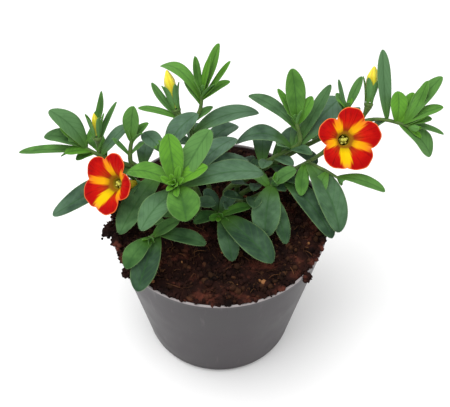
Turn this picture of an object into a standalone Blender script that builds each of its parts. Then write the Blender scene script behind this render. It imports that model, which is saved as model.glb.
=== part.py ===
"""Calibrachoa in a small nursery pot.

The pot is a thin turned shell with drainage holes. Peat fills it to the rim, and every
leafy shoot stands in a plain hole in the peat near the middle. A shoot is one node:
its stems, leaves, sepals and flower stalks are joined in one body. The open flowers,
the closed buds and the small eye inside each flower are nodes of their own, because
each has a colour of its own.

Frame: the origin is the centre of the pot's underside, +Z is up, and -Y is the front.
Lengths in this file are millimetres until they reach a mesh.
"""
import math

import bmesh
import bpy
from mathutils import Matrix, Vector, noise

MM = 0.001                 # one millimetre, in metres

# Pot, a round nursery pot of 10.5 cm
POT_HEIGHT = 82.0
RIM_RADIUS = 52.5
BASE_RADIUS = 39.0
WALL = 1.1
FLOOR = 1.5
BASE_ROUND = 5.0           # radius between the wall and the underside
POT_SIDES = 48
DRAIN_HOLES = 6
DRAIN_RADIUS = 3.5
DRAIN_CIRCLE = 25.0        # the drainage holes' centres lie on a circle of this radius

# Peat
GAP = 0.3                  # clearance between pieces that touch
SOIL_EDGE = 81.3           # height of the peat along the rim
SOIL_DIP = 1.2             # how much lower the peat lies round the stems
SOIL_CELLS = 16            # cells across the relief
LUMP = 1.1                 # height of the broad lumps
CRUMB = 0.6                # height of the small ones
ROOT_DEPTH = 70.0          # the stems' lower ends
ROOT_STRAIGHT = 83.5       # the stems run straight up to this height
HOLE_CLEARANCE = 0.5

# Leaves
BLADE = 0.7                # thickness of a blade
FOLD = 0.22                # rise of the leaf's edge over its midrib, per half width
WIDEST = 1.35              # power that puts the widest place beyond the middle
FULLNESS = 0.62            # power that fills the outline out towards its ends
STALK = 0.17               # share of the width that is left at the leaf's foot
TIP_WIDTH = 0.35           # half width at the very tip
BROAD = 10.5               # a leaf wider than this has one more row of faces
SLIVER = 0.0015            # edges shorter than this are merged after a union
GOLDEN_ANGLE = math.radians(137.5)

# Flowers
TUBE_LENGTH = 14.0
TUBE_FOOT = 1.4            # radius of the funnel at its foot
THROAT = 3.4               # radius of the funnel at its throat
FLOWER_RADIUS = 14.8
NOTCH = 0.26               # share of the radius cut away between two lobes
LOBES = 5
PETAL = 0.7                # thickness of a petal
PETAL_SEGMENTS = 30
TUBE_RINGS = 2             # rings along the tube
FLOWER_RINGS = 6           # rings in all
REFLEX = 0.9               # how far the lobes' edges turn back
PLEAT = 0.5                # how far each lobe's middle stands over its sides

# Where the two flowers sit: foot of the tube, and a point straight ahead of its face
FLOWERS = {
    "left": ((-39.9, 9.2, 94.8), (-48.2, 0.9, 104.3)),
    "right": ((56.4, 22.0, 111.2), (56.9, 11.5, 121.8)),
}
# Turn of the lobes in degrees, rise of the cup, and how far the face leans aside and back
FLOWER_FORMS = {
    "left": (20.0, 5.0, (-2.4, -1.4)),
    "right": (12.0, 2.0, (2.2, 0.0)),
}
# The closed buds: foot, tip and radius
BUDS = {
    "left": ((-57.5, 21.5, 115.5), (-58.0, 25.0, 126.0), 1.5),
    "top": ((-20.5, 32.5, 123.0), (-24.5, 41.0, 138.5), 2.6),
    "right": ((70.0, 32.0, 127.0), (71.5, 40.5, 141.0), 2.8),
}

COLOURS = {
    "pot": (0.115, 0.105, 0.11, 0.45),
    "soil": (0.030, 0.014, 0.010, 0.95),
    "leaf": (0.085, 0.170, 0.060, 0.60),
    "petal": (0.750, 0.045, 0.006, 0.50),
    "eye": (0.420, 0.420, 0.060, 0.60),
    "bud": (0.800, 0.700, 0.030, 0.55),
}


def leaf(at, tip, width, arch=0.08, roll=0.0):
    """One leaf: its place on the stem, its tip, its width, its bow and its turn in degrees."""
    return {"at": at, "tip": tip, "width": width, "arch": arch, "roll": roll}


def stem(route, radius, leaves=(), tuft=None, calyx=None):
    """One stem: the points it runs through, its foot and end radius, and what grows on it."""
    return {"route": route, "radius": radius, "leaves": leaves, "tuft": tuft, "calyx": calyx}


def from_soil(x, y, *route):
    """A route that comes straight up out of the peat at x, y before it bends away."""
    return ((x, y, ROOT_DEPTH), (x, y, ROOT_STRAIGHT)) + route


# A place on a stem counts its route's points: 2.5 is halfway from the third to the fourth.
# A tuft is (number of leaves, length of the longest, its width, spread in degrees).
# A calyx is (foot, point ahead, sepal length, sepal width, lean in degrees).
SHOOTS = {
    "stem_left": (
        stem(from_soil(-10, 13, (-24, 15, 95), (-45, 16, 102), (-57, 17, 107), (-65, 19, 111)),
             (1.4, 0.9),
             (leaf(4.5, (-97, 23, 103), 6.0, 0.05),
              leaf(4.7, (-79, 27, 126), 11.0, 0.12),
              leaf(4.8, (-75, 26, 118), 7.0, 0.10),
              leaf(4.9, (-82, 20, 116), 9.5, 0.14),
              leaf(5.0, (-54, 31, 134), 4.6, -0.12),
              leaf(4.1, (-48, 32, 127), 3.2, 0.04),
              leaf(3.9, (-43, 27, 117), 7.5, 0.10),
              leaf(4.4, (-72, 13, 112), 6.5, 0.10),
              leaf(4.2, (-68, 15, 106), 5.5, 0.10),
              leaf(2.8, (-80, -2, 85), 13.0, -0.03),
              leaf(3.7, (-66, 36, 101), 9.0, 0.14),
              leaf(2.2, (-46, -17, 89), 12.5, 0.06),
              leaf(2.6, (-36, 38, 96), 9.0, 0.14)),
             tuft=(4, 12.0, 5.0, 41.0)),
        stem(((-57, 17, 107), (-57.3, 19.5, 110), (-57.4, 20.7, 113.5)), (0.8, 1.3),
             calyx=(*BUDS["left"][:2], 12.0, 3.0, 14.0)),
        stem(((-38, 16, 99), (-42, 15, 104), (-42, 18, 110), (-41, 20, 114)), (1.2, 0.9),
             (leaf(2.7, (-39, 24, 131), 8.5, 0.02),
              leaf(2.4, (-33, 24, 121), 5.0, 0.10),
              leaf(1.5, (-50, 19, 116), 3.0, 0.05),
              leaf(1.5, (-35, 18, 114), 3.0, 0.05)),
             tuft=(4, 9.0, 4.0, 30.0)),
        stem(((-22, 15, 94), (-32, 13, 93), (-38.7, 10.4, 93.4)), (0.8, 1.8),
             calyx=(*FLOWERS["left"], 8.0, 2.6, 26.0)),
    ),
    "stem_top": (
        stem(from_soil(-5, 18, (-12, 24, 104), (-13, 26, 116), (-9, 30, 124), (-8, 32, 131)),
             (1.3, 0.8),
             (leaf(4.9, (0, 38, 155), 7.0, -0.03),
              leaf(4.9, (-11, 37, 149), 4.0, 0.0),
              leaf(4.8, (-4, 35, 150), 4.2, 0.0),
              leaf(4.7, (5, 36, 147), 4.5, 0.0),
              leaf(4.6, (5, 37, 135), 5.5, 0.10),
              leaf(4.6, (-28, 50, 134), 7.5, 0.26),
              leaf(4.3, (-16, 38, 135), 6.5, 0.10),
              leaf(3.3, (-3, 32, 124), 4.5, 0.05),
              leaf(2.6, (19, 36, 117), 11.0, 0.14),
              leaf(2.2, (-25, 25, 109), 7.5, 0.12),
              leaf(1.6, (-14, 50, 98), 10.0, 0.16),
              leaf(1.8, (9, 46, 100), 10.0, 0.16)),
             tuft=(4, 11.0, 4.0, 26.0)),
        stem(((-13, 26, 117), (-18, 29, 118.5), (-20.0, 31.5, 121.1)), (0.8, 1.9),
             (leaf(1.4, (-32, 41, 131), 4.5, -0.06),
              leaf(1.1, (-39, 37, 119), 5.0, 0.08)),
             calyx=(*BUDS["top"][:2], 13.0, 3.6, 12.0)),
    ),
    "stem_centre": (
        stem(from_soil(-10, 4, (-13, -4, 98), (-17, -10, 112), (-19, -14, 119)), (1.5, 1.1),
             (leaf(3.9, (-22, 1, 135), 10.5, 0.03),
              leaf(3.8, (-4, 8, 131), 11.5, 0.05),
              leaf(3.8, (-41, -2, 115), 11.0, 0.14),
              leaf(3.9, (-5, -9, 125), 8.5, 0.05),
              leaf(3.8, (-14, -29, 112), 14.5, 0.12),
              leaf(3.4, (20, 2, 110), 14.0, 0.12),
              leaf(3.0, (13, 14, 107), 12.0, 0.12),
              leaf(3.2, (8, 23, 112), 10.0, 0.12),
              leaf(2.9, (-34, -29, 106), 12.0, 0.12)),
             tuft=(6, 8.0, 3.6, 42.0)),
    ),
    "stem_centre_back": (
        stem(from_soil(-9, 9, (-14, 11, 98), (-22, 13, 107), (-27, 15, 112)), (1.3, 0.9),
             (leaf(3.6, (-10, 27, 124), 11.5, 0.12),
              leaf(3.8, (-36, 25, 114), 9.0, 0.06)),
             tuft=(3, 7.0, 3.2, 30.0)),
    ),
    "stem_front_left": (
        stem(from_soil(-14, 0, (-20, -9, 91), (-27, -19, 94), (-31, -26, 96)), (1.3, 0.9),
             (leaf(3.8, (-41, -39, 92), 9.5, 0.10),
              leaf(3.2, (-36, -46, 84.5), 12.0, 0.12),
              leaf(3.7, (-18, -19, 101), 7.0, 0.08),
              leaf(3.3, (-6, -27, 94), 8.5, 0.12),
              leaf(2.6, (-39, -4, 86), 7.5, 0.05),
              leaf(1.8, (-36, 0, 86), 9.0, 0.10)),
             tuft=(4, 7.0, 4.0, 40.0)),
    ),
    "stem_front": (
        stem(from_soil(-1, 1, (1, -5, 89), (0, -9, 92)), (1.2, 0.9),
             (leaf(2.4, (24, -32, 87), 14.0, 0.10),
              leaf(2.2, (6, -30, 85.5), 9.5, 0.08),
              leaf(2.6, (15, -5, 95), 6.0, 0.12),
              leaf(2.2, (-12, -10, 89), 7.0, 0.10)),
             tuft=(4, 6.5, 4.0, 60.0)),
    ),
    "stem_front_right": (
        stem(from_soil(6, 6, (14, 4, 90), (22, 5, 95), (26, 6, 99)), (1.2, 0.8),
             (leaf(3.7, (21, -18, 88), 13.5, 0.12),
              leaf(3.1, (31, -20, 85.5), 8.0, 0.10),
              leaf(3.4, (13, 16, 100), 7.5, 0.10),
              leaf(2.8, (34, 8, 95), 6.5, 0.10),
              leaf(3.8, (36, 8, 106), 9.0, 0.06)),
             tuft=(4, 8.0, 4.0, 45.0)),
    ),
    "stem_right_low": (
        stem(from_soil(9, 11, (18, 12, 91), (31, 13, 98), (43, 14, 106)), (1.4, 1.0),
             (leaf(2.9, (53, -16, 85), 12.0, 0.14),
              leaf(3.9, (56, -15, 88), 14.0, 0.14),
              leaf(3.8, (38, -2, 99), 6.5, 0.08))),
        stem(((42, 14, 105), (49, 20, 105), (56.3, 23.5, 109.6)), (0.9, 1.8),
             calyx=(*FLOWERS["right"], 8.0, 2.6, 26.0)),
        stem(((42, 14, 105), (49, 8, 106), (56, 3, 105)), (0.9, 0.6),
             (leaf(1.8, (76, -4, 104), 7.5, 0.08),
              leaf(1.2, (46, -1, 98), 7.0, 0.12)),
             tuft=(3, 5.0, 2.6, 35.0)),
    ),
    "stem_right_back": (
        stem(from_soil(3, 15, (18, 20, 95), (31, 21, 105), (38, 20, 112), (36, 24, 121)),
             (1.4, 0.9),
             (leaf(4.9, (33, 36, 143), 9.5, 0.0),
              leaf(4.8, (27, 34, 133), 4.6, 0.0),
              leaf(4.9, (43, 31, 131), 6.0, 0.0),
              leaf(4.6, (14, 39, 125), 8.5, 0.12),
              leaf(3.7, (60, 47, 117), 15.0, 0.10),
              leaf(3.6, (52, 37, 133), 6.5, 0.0),
              leaf(3.4, (45, 38, 117), 8.5, 0.06),
              leaf(3.4, (8, 25, 107), 10.5, 0.26),
              leaf(2.3, (15, 19, 96), 7.0, 0.05),
              leaf(2.8, (27, 25, 114), 3.0, 0.05),
              leaf(2.2, (24, 48, 96), 11.0, 0.16),
              leaf(2.6, (44, 44, 99), 10.0, 0.14),
              leaf(2.0, (12, 30, 92), 7.0, 0.12)),
             tuft=(4, 9.0, 3.6, 22.0)),
    ),
    "stem_right": (
        stem(from_soil(9, 19, (30, 28, 93), (50, 30, 106), (67, 28, 118), (77, 25, 122),
                       (87, 18, 124)),
             (1.4, 0.8),
             (leaf(5.9, (93, 27, 143), 5.0, -0.04),
              leaf(5.8, (100, 30, 143), 8.0, 0.05),
              leaf(5.6, (89, 30, 134), 6.0, 0.05),
              leaf(5.7, (101, 21, 133), 7.0, 0.08),
              leaf(5.9, (97, 20, 127), 6.0, 0.08),
              leaf(5.5, (103, 16, 121), 4.5, 0.06),
              leaf(5.6, (98, 11, 112), 12.5, 0.12),
              leaf(5.5, (82, 31, 134), 8.0, 0.12),
              leaf(5.1, (74, 42, 149), 6.6, 0.04),
              leaf(5.1, (73, 26, 111), 8.0, 0.12),
              leaf(3.7, (66, 50, 108), 9.0, 0.12),
              leaf(2.8, (56, 44, 92), 9.0, 0.12)),
             tuft=(4, 10.0, 4.0, 34.0)),
        stem(((67, 28, 118), (68.5, 29.5, 121.5), (69.8, 30.9, 125.1)), (0.8, 1.9),
             calyx=(*BUDS["right"][:2], 13.0, 3.6, 12.0)),
        stem(((58, 29, 112), (60, 30, 118), (60, 31, 124)), (0.8, 0.7),
             (leaf(1.8, (66, 38, 137), 4.6, 0.0),
              leaf(1.7, (56, 41, 133), 2.4, 0.0),
              leaf(1.6, (55, 37, 128), 4.4, 0.06)),
             tuft=(3, 8.0, 3.4, 30.0)),
    ),
}


def clear_scene():
    """Removes what the new file starts with."""
    for obj in list(bpy.data.objects):
        bpy.data.objects.remove(obj, do_unlink=True)


def make_collection(name):
    """A collection linked to the scene."""
    collection = bpy.data.collections.new(name)
    bpy.context.scene.collection.children.link(collection)
    return collection


def make_material(name):
    """A plain material of one of the object's own colours."""
    red, green, blue, roughness = COLOURS[name]
    material = bpy.data.materials.new("calibrachoa_" + name)
    material.use_nodes = True
    shader = material.node_tree.nodes["Principled BSDF"]
    shader.inputs["Base Color"].default_value = (red, green, blue, 1.0)
    shader.inputs["Roughness"].default_value = roughness
    shader.inputs["Metallic"].default_value = 0.0
    return material


def mesh_object(name, bm, collection):
    """Turns a bmesh into an object."""
    mesh = bpy.data.meshes.new(name)
    bm.to_mesh(mesh)
    bm.free()
    obj = bpy.data.objects.new(name, mesh)
    collection.objects.link(obj)
    return obj


def applied(obj):
    """Writes an object's modifiers into its mesh and drops them."""
    graph = bpy.context.evaluated_depsgraph_get()
    finished = bpy.data.meshes.new_from_object(obj.evaluated_get(graph))
    old = obj.data
    obj.modifiers.clear()
    if obj.type == "MESH":
        obj.data = finished
        bpy.data.meshes.remove(old)
        return obj
    solid = bpy.data.objects.new(obj.name, finished)
    solid.matrix_world = obj.matrix_world.copy()
    for collection in list(obj.users_collection):
        collection.objects.link(solid)
    bpy.data.objects.remove(obj, do_unlink=True)
    return solid


def weld(obj, distance=0.00001):
    """Joins the loose caps of a tube to its wall."""
    bm = bmesh.new()
    bm.from_mesh(obj.data)
    bmesh.ops.remove_doubles(bm, verts=bm.verts, dist=distance)
    bmesh.ops.recalc_face_normals(bm, faces=bm.faces)
    bm.to_mesh(obj.data)
    bm.free()


def solidify(obj, thickness):
    """Gives an open surface its thickness, half on either side."""
    wall = obj.modifiers.new("thickness", "SOLIDIFY")
    wall.thickness = thickness * MM
    wall.offset = 0.0


def route_point(route, place):
    """The point at a place on a smooth curve through all of a route's points.

    The first span is straight, and the others follow Catmull and Rom's rule.
    """
    guides = [Vector(p) for p in route]
    index = min(int(place), len(guides) - 2)
    t = place - index
    if index == 0:
        return guides[0].lerp(guides[1], t)
    guides.append(2 * guides[-1] - guides[-2])
    a, b, c, d = guides[index - 1:index + 3]
    return 0.5 * (2 * b + (c - a) * t + (2 * a - 5 * b + 4 * c - d) * t ** 2
                  + (3 * b - a - 3 * c + d) * t ** 3)


def smooth_route(route):
    """The points that a stem's tube runs through, two to a span after the straight first one."""
    places = [0.0] + [1.0 + step / 2 for step in range(2 * (len(route) - 2) + 1)]
    return [route_point(route, place) for place in places]


def stem_tube(name, curve, foot, end, collection):
    """A round stem along a curve, tapered from its foot to its end."""
    data = bpy.data.curves.new(name, "CURVE")
    data.dimensions = "3D"
    data.bevel_depth = MM
    data.bevel_resolution = 1
    data.use_fill_caps = True
    spline = data.splines.new("POLY")
    spline.points.add(len(curve) - 1)
    for index, place in enumerate(curve):
        share = index / (len(curve) - 1)
        spline.points[index].co = (*(place * MM), 1.0)
        spline.points[index].radius = foot + (end - foot) * share
    obj = bpy.data.objects.new(name, data)
    collection.objects.link(obj)
    obj = applied(obj)
    weld(obj)
    return obj


def half_width(u, width):
    """Half width of a leaf at the share u of its length: narrow foot, widest beyond the middle."""
    swell = math.sin(math.pi * min(u, 1.0) ** WIDEST)
    outline = STALK * (1 - u) + (1 - STALK * (1 - u)) * max(swell, 0.0) ** FULLNESS
    return max(TIP_WIDTH, 0.5 * width * outline)


def leaf_frame(base, tip, facing, roll):
    """The leaf's own axes: along it, across it and out of its upper face."""
    along = (tip - base).normalized()
    across = along.cross(facing).normalized()
    across.rotate(Matrix.Rotation(math.radians(roll), 3, along))
    return along, across, across.cross(along)


def leaf_blade(name, base, tip, width, arch, collection, facing=(0, 0, 1), roll=0.0, steps=5):
    """A folded, bowed blade from base to tip: a sheet with a midrib, then its thickness.

    Its rows lie closer together towards the tip, where the outline turns round.
    """
    length = (tip - base).length
    along, across, out = leaf_frame(base, tip, Vector(facing), roll)
    bm = bmesh.new()
    bmesh.ops.create_grid(bm, x_segments=2, y_segments=steps, size=1.0)
    for vert in bm.verts:
        side, u = vert.co.x, 1 - (0.5 - 0.5 * vert.co.y) ** 1.5
        half = half_width(u, width)
        rise = 4 * arch * length * u * (1 - u) + FOLD * half * abs(side)
        vert.co = (base + along * (length * u) + across * (half * side) + out * rise) * MM
    bmesh.ops.triangulate(bm, faces=bm.faces)
    obj = mesh_object(name, bm, collection)
    solidify(obj, BLADE)
    return applied(obj)


def tuft_blades(name, end, axis, tuft, collection):
    """The young leaves at a stem's end, on a spiral, the outer ones longer and more open."""
    count, longest, widest, spread = tuft
    side = axis.orthogonal().normalized()
    for index in range(count):
        share = (index + 1) / count
        turned = side.copy()
        turned.rotate(Matrix.Rotation(GOLDEN_ANGLE * index, 3, axis))
        lean = math.radians(8.0 + spread * share)
        heading = axis * math.cos(lean) + turned * math.sin(lean)
        base = end - axis * (0.6 + 1.2 * share)
        length = longest * (0.5 + 0.5 * share)
        width = widest * (0.55 + 0.45 * share)
        leaf_blade(f"{name}_{index}", base, base + heading * length, width, 0.05, collection,
                   facing=axis, steps=2)


def calyx_blades(name, calyx, collection):
    """The five sepals round a flower's or a bud's foot."""
    foot, ahead, length, width, lean = calyx
    foot = Vector(foot)
    axis = (Vector(ahead) - foot).normalized()
    side = axis.orthogonal().normalized()
    for index in range(LOBES):
        turned = side.copy()
        turned.rotate(Matrix.Rotation(math.tau * (index + 0.5) / LOBES, 3, axis))
        heading = axis * math.cos(math.radians(lean)) + turned * math.sin(math.radians(lean))
        base = foot - axis * 1.4 + turned * (TUBE_FOOT + 0.4)
        leaf_blade(f"{name}_{index}", base, base + heading * length, width, 0.04, collection,
                   facing=axis, steps=2)


def receptacle(name, calyx, collection):
    """The small knob that carries the sepals, behind the flower's foot."""
    foot = Vector(calyx[0])
    axis = (Vector(calyx[1]) - foot).normalized()
    end = foot - axis * (0.5 * PETAL + GAP)
    return stem_tube(name, [end - axis * 3.0, end - axis * 1.5, end], 1.2, 2.4, collection)


def linked_verts(start):
    """All vertices of the body that a vertex belongs to."""
    found = {start}
    front = [start]
    while front:
        here = front.pop()
        for edge in here.link_edges:
            there = edge.other_vert(here)
            if there not in found:
                found.add(there)
                front.append(there)
    return found


def tidy_faces(obj):
    """Merges the slivers that a union leaves, and drops a scrap that hangs on nothing."""
    bm = bmesh.new()
    bm.from_mesh(obj.data)
    bmesh.ops.remove_doubles(bm, verts=bm.verts, dist=SLIVER * MM)
    bmesh.ops.dissolve_limit(bm, angle_limit=math.radians(0.5), verts=bm.verts, edges=bm.edges)
    bmesh.ops.triangulate(bm, faces=bm.faces)
    main_body = linked_verts(max(bm.verts, key=lambda vert: vert.co.z))
    scraps = [vert for vert in bm.verts if vert not in main_body]
    bmesh.ops.delete(bm, geom=scraps, context="VERTS")
    bm.to_mesh(obj.data)
    bm.free()


def join_all(first, others):
    """One union of everything in a collection with the first piece, applied."""
    union = first.modifiers.new("join", "BOOLEAN")
    union.operation = "UNION"
    union.operand_type = "COLLECTION"
    union.collection = others
    union.solver = "MANIFOLD"
    applied(first)
    tidy_faces(first)
    for obj in list(others.objects):
        bpy.data.objects.remove(obj, do_unlink=True)
    bpy.data.collections.remove(others)


def build_shoot(name, stems, collection, material):
    """A leafy shoot: all its stems, leaves, tufts and sepals in one body."""
    others = make_collection(name + "_pieces")
    first = None
    for number, spec in enumerate(stems):
        curve = smooth_route(spec["route"])
        target = others if first else collection
        tube = stem_tube(f"{name}_{number}", curve, *spec["radius"], target)
        first = first or tube
        for index, blade in enumerate(spec["leaves"]):
            base = route_point(spec["route"], blade["at"])
            leaf_blade(f"{name}_{number}_leaf_{index}", base, Vector(blade["tip"]), blade["width"],
                       blade["arch"], others, roll=blade["roll"],
                       steps=5 if blade["width"] > BROAD else 4)
        if spec["tuft"]:
            axis = (curve[-1] - curve[-2]).normalized()
            tuft_blades(f"{name}_{number}_tuft", curve[-1], axis, spec["tuft"], others)
        if spec["calyx"]:
            receptacle(f"{name}_{number}_knob", spec["calyx"], others)
            calyx_blades(f"{name}_{number}_sepal", spec["calyx"], others)
    join_all(first, others)
    first.name = name
    first.data.materials.append(material)
    return first


def aim(obj, foot, ahead):
    """Stands an object on a foot point with its +Z towards another point."""
    foot = Vector(foot)
    axis = (Vector(ahead) - foot).normalized()
    obj.location = foot * MM
    obj.rotation_mode = "QUATERNION"
    obj.rotation_quaternion = axis.to_track_quat("Z", "Y")


def face_share(ring):
    """How far out a ring of the corolla lies on the face: 0 at the throat, 1 at the edge."""
    return max(ring - TUBE_RINGS, 0) / (FLOWER_RINGS - TUBE_RINGS)


def funnel_point(ring, angle, form):
    """A point of the corolla: first the tube, then five lobes that rise, spread and turn back."""
    if ring <= TUBE_RINGS:
        share = ring / TUBE_RINGS
        radius = TUBE_FOOT + (THROAT - TUBE_FOOT) * share ** 1.5
        return Vector((radius * math.cos(angle), radius * math.sin(angle), TUBE_LENGTH * share))
    turn, cup, (aside, back) = form
    share = face_share(ring)
    lobe = abs(math.cos(0.5 * LOBES * (angle - math.radians(turn))))
    outline = FLOWER_RADIUS * (1 - NOTCH * (1 - lobe ** 0.7))
    radius = THROAT + (outline - THROAT) * share
    rise = cup * math.sin(0.5 * math.pi * share) - REFLEX * share ** 3
    rise += PLEAT * (lobe - 0.5) * math.sin(math.pi * share)
    return Vector((radius * math.cos(angle) + aside * share, radius * math.sin(angle) + back * share,
                   TUBE_LENGTH + rise))


def build_bloom(side, collection, material):
    """An open flower: a closed foot, drawn out ring by ring to the edge of the five lobes."""
    form = FLOWER_FORMS[side]
    bm = bmesh.new()
    bmesh.ops.create_circle(bm, cap_ends=True, cap_tris=True, segments=PETAL_SEGMENTS,
                            radius=TUBE_FOOT * MM)
    edge = [e for e in bm.edges if e.is_boundary]
    for ring in range(1, FLOWER_RINGS + 1):
        made = bmesh.ops.extrude_edge_only(bm, edges=edge)["geom"]
        edge = [part for part in made if isinstance(part, bmesh.types.BMEdge)]
        aside, back = (MM * lean * face_share(ring - 1) for lean in form[2])
        for vert in [part for part in made if isinstance(part, bmesh.types.BMVert)]:
            angle = math.atan2(vert.co.y - back, vert.co.x - aside)
            vert.co = funnel_point(ring, angle, form) * MM
    bmesh.ops.recalc_face_normals(bm, faces=bm.faces)
    bmesh.ops.triangulate(bm, faces=bm.faces)
    bloom = mesh_object(f"bloom_{side}", bm, collection)
    solidify(bloom, PETAL)
    bloom.data.materials.append(material)
    bloom.data.shade_smooth()
    aim(bloom, *FLOWERS[side])
    return bloom


def turned(name, profile, steps, collection):
    """A solid of revolution from (radius, height) pairs that run up the axis side first."""
    bm = bmesh.new()
    verts = [bm.verts.new((radius * MM, 0.0, height * MM)) for radius, height in profile]
    for lower, upper in zip(verts, verts[1:]):
        bm.edges.new((lower, upper))
    obj = mesh_object(name, bm, collection)
    screw = obj.modifiers.new("turn", "SCREW")
    screw.steps = steps
    screw.render_steps = steps
    screw.use_merge_vertices = True
    screw.merge_threshold = 0.00001
    screw.use_normal_calculate = False
    return applied(obj)


def build_eye(side, collection, material):
    """The knob of the stigma on its style, standing on the floor of the funnel."""
    foot = 0.5 * PETAL + GAP
    top = TUBE_LENGTH - 0.8
    profile = ((0, top + 1.3), (0.9, top + 1.0), (1.3, top + 0.1), (0.9, top - 0.8),
               (0.45, top - 1.6), (0.45, foot), (0, foot))
    eye = turned(f"eye_{side}", profile, 8, collection)
    eye.data.materials.append(material)
    eye.data.shade_smooth()
    aim(eye, *FLOWERS[side])
    return eye


def build_bud(side, collection, material):
    """A closed bud: a slim spindle."""
    foot, tip, radius = BUDS[side]
    length = (Vector(tip) - Vector(foot)).length
    profile = ((0, length), (0.45 * radius, 0.95 * length), (0.9 * radius, 0.78 * length),
               (radius, 0.58 * length), (0.72 * radius, 0.28 * length), (0.5 * radius, 0.0),
               (0, 0))
    bud = turned(f"bud_{side}", profile, 10, collection)
    bud.data.materials.append(material)
    bud.data.shade_smooth()
    aim(bud, foot, tip)
    return bud


def wall_radius(height):
    """Outer radius of the pot at a height."""
    return BASE_RADIUS + (RIM_RADIUS - BASE_RADIUS) * height / POT_HEIGHT


def pot_profile():
    """Half section of the pot: up the inside, over the rim, down the outside to the underside."""
    inner = [(0.0, FLOOR), (wall_radius(FLOOR) - WALL - BASE_ROUND, FLOOR)]
    inner += [(wall_radius(BASE_ROUND) - WALL, BASE_ROUND + FLOOR)]
    rim = [(RIM_RADIUS - WALL, POT_HEIGHT - 0.3), (RIM_RADIUS - WALL + 0.3, POT_HEIGHT),
           (RIM_RADIUS - 0.3, POT_HEIGHT), (RIM_RADIUS, POT_HEIGHT - 0.3)]
    outer = []
    for step in range(4):
        angle = math.radians(90.0 * step / 3)
        radius = wall_radius(BASE_ROUND) - BASE_ROUND + BASE_ROUND * math.cos(angle)
        outer.append((radius, BASE_ROUND - BASE_ROUND * math.sin(angle)))
    return inner + rim + outer + [(0.0, 0.0)]


def add_cylinder(bm, radius, low, high, place, sides):
    """A plain upright cylinder inside a bmesh."""
    matrix = Matrix.Translation(Vector((*place, 0.5 * (low + high))) * MM)
    bmesh.ops.create_cone(bm, cap_ends=True, segments=sides, radius1=radius * MM,
                          radius2=radius * MM, depth=(high - low) * MM, matrix=matrix)


def cut(obj, cutter):
    """Takes the cutter's shapes out of an object for good, and hides the cutter."""
    cutter.hide_render = True
    cutter.display_type = "WIRE"
    hole = obj.modifiers.new("holes", "BOOLEAN")
    hole.operation = "DIFFERENCE"
    hole.object = cutter
    hole.solver = "EXACT"


def build_pot(collection, cutters, material):
    """The thin turned shell, with a ring of drainage holes in its floor."""
    pot = turned("pot", pot_profile(), POT_SIDES, collection)
    bm = bmesh.new()
    for index in range(DRAIN_HOLES):
        angle = math.tau * (index + 0.03) / DRAIN_HOLES
        place = (DRAIN_CIRCLE * math.cos(angle), DRAIN_CIRCLE * math.sin(angle))
        add_cylinder(bm, DRAIN_RADIUS, -2.0, FLOOR + 2.0, place, 16)
    cut(pot, mesh_object("drain_cutter", bm, cutters))
    pot.data.materials.append(material)
    pot.data.shade_smooth()
    pot.data.set_sharp_from_angle(angle=math.radians(35))
    return pot


def soil_height(x, y, radius):
    """Height of the peat: level with the rim, a little lower inside, with lumps and crumbs."""
    inwards = 1 - min(math.hypot(x, y) / radius, 1.0) ** 2
    lumps = LUMP * noise.noise(Vector((x, y, 0)) * 0.11)
    crumbs = CRUMB * noise.noise(Vector((x, y, 40)) * 0.33)
    return SOIL_EDGE - SOIL_DIP * inwards + (lumps + crumbs) * min(1.0, 3 * inwards)


def build_soil(collection, cutters, material):
    """The peat: a lumpy disc whose edge is drawn down the pot's inside, with the stems' holes."""
    top_radius = wall_radius(SOIL_EDGE) - WALL - GAP
    low = FLOOR + BASE_ROUND + GAP
    low_radius = wall_radius(BASE_ROUND) - WALL - GAP
    bm = bmesh.new()
    bmesh.ops.create_grid(bm, x_segments=SOIL_CELLS, y_segments=SOIL_CELLS, size=1.0)
    for vert in bm.verts:
        x = top_radius * vert.co.x * math.sqrt(1 - 0.5 * vert.co.y ** 2)
        y = top_radius * vert.co.y * math.sqrt(1 - 0.5 * vert.co.x ** 2)
        vert.co = Vector((x, y, soil_height(x, y, top_radius))) * MM
    edge = [e for e in bm.edges if e.is_boundary]
    made = bmesh.ops.extrude_edge_only(bm, edges=edge)["geom"]
    for vert in [part for part in made if isinstance(part, bmesh.types.BMVert)]:
        vert.co.x *= low_radius / top_radius
        vert.co.y *= low_radius / top_radius
        vert.co.z = low * MM
    edge = [e for e in bm.edges if e.is_boundary]
    made = bmesh.ops.extrude_edge_only(bm, edges=edge)["geom"]
    inner = (low_radius - BASE_ROUND) / low_radius
    for vert in [part for part in made if isinstance(part, bmesh.types.BMVert)]:
        vert.co.x *= inner
        vert.co.y *= inner
        vert.co.z = (FLOOR + GAP) * MM
    bmesh.ops.holes_fill(bm, edges=[e for e in bm.edges if e.is_boundary])
    bmesh.ops.recalc_face_normals(bm, faces=bm.faces)
    bmesh.ops.triangulate(bm, faces=bm.faces)
    soil = mesh_object("soil", bm, collection)
    bm = bmesh.new()
    for stems in SHOOTS.values():
        x, y, _ = stems[0]["route"][0]
        radius = stems[0]["radius"][0] + HOLE_CLEARANCE
        add_cylinder(bm, radius, ROOT_DEPTH - GAP, POT_HEIGHT + 5, (x, y), 10)
    cut(soil, mesh_object("stem_hole_cutter", bm, cutters))
    soil.data.materials.append(material)
    return soil


def main():
    """Builds the whole plant in its pot."""
    clear_scene()
    plant = make_collection("calibrachoa")
    cutters = make_collection("cutters")
    materials = {name: make_material(name) for name in COLOURS}
    build_pot(plant, cutters, materials["pot"])
    build_soil(plant, cutters, materials["soil"])
    for name, stems in SHOOTS.items():
        build_shoot(name, stems, plant, materials["leaf"])
    for side in FLOWERS:
        build_bloom(side, plant, materials["petal"])
        build_eye(side, plant, materials["eye"])
    for side in BUDS:
        build_bud(side, plant, materials["bud"])


main()
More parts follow.
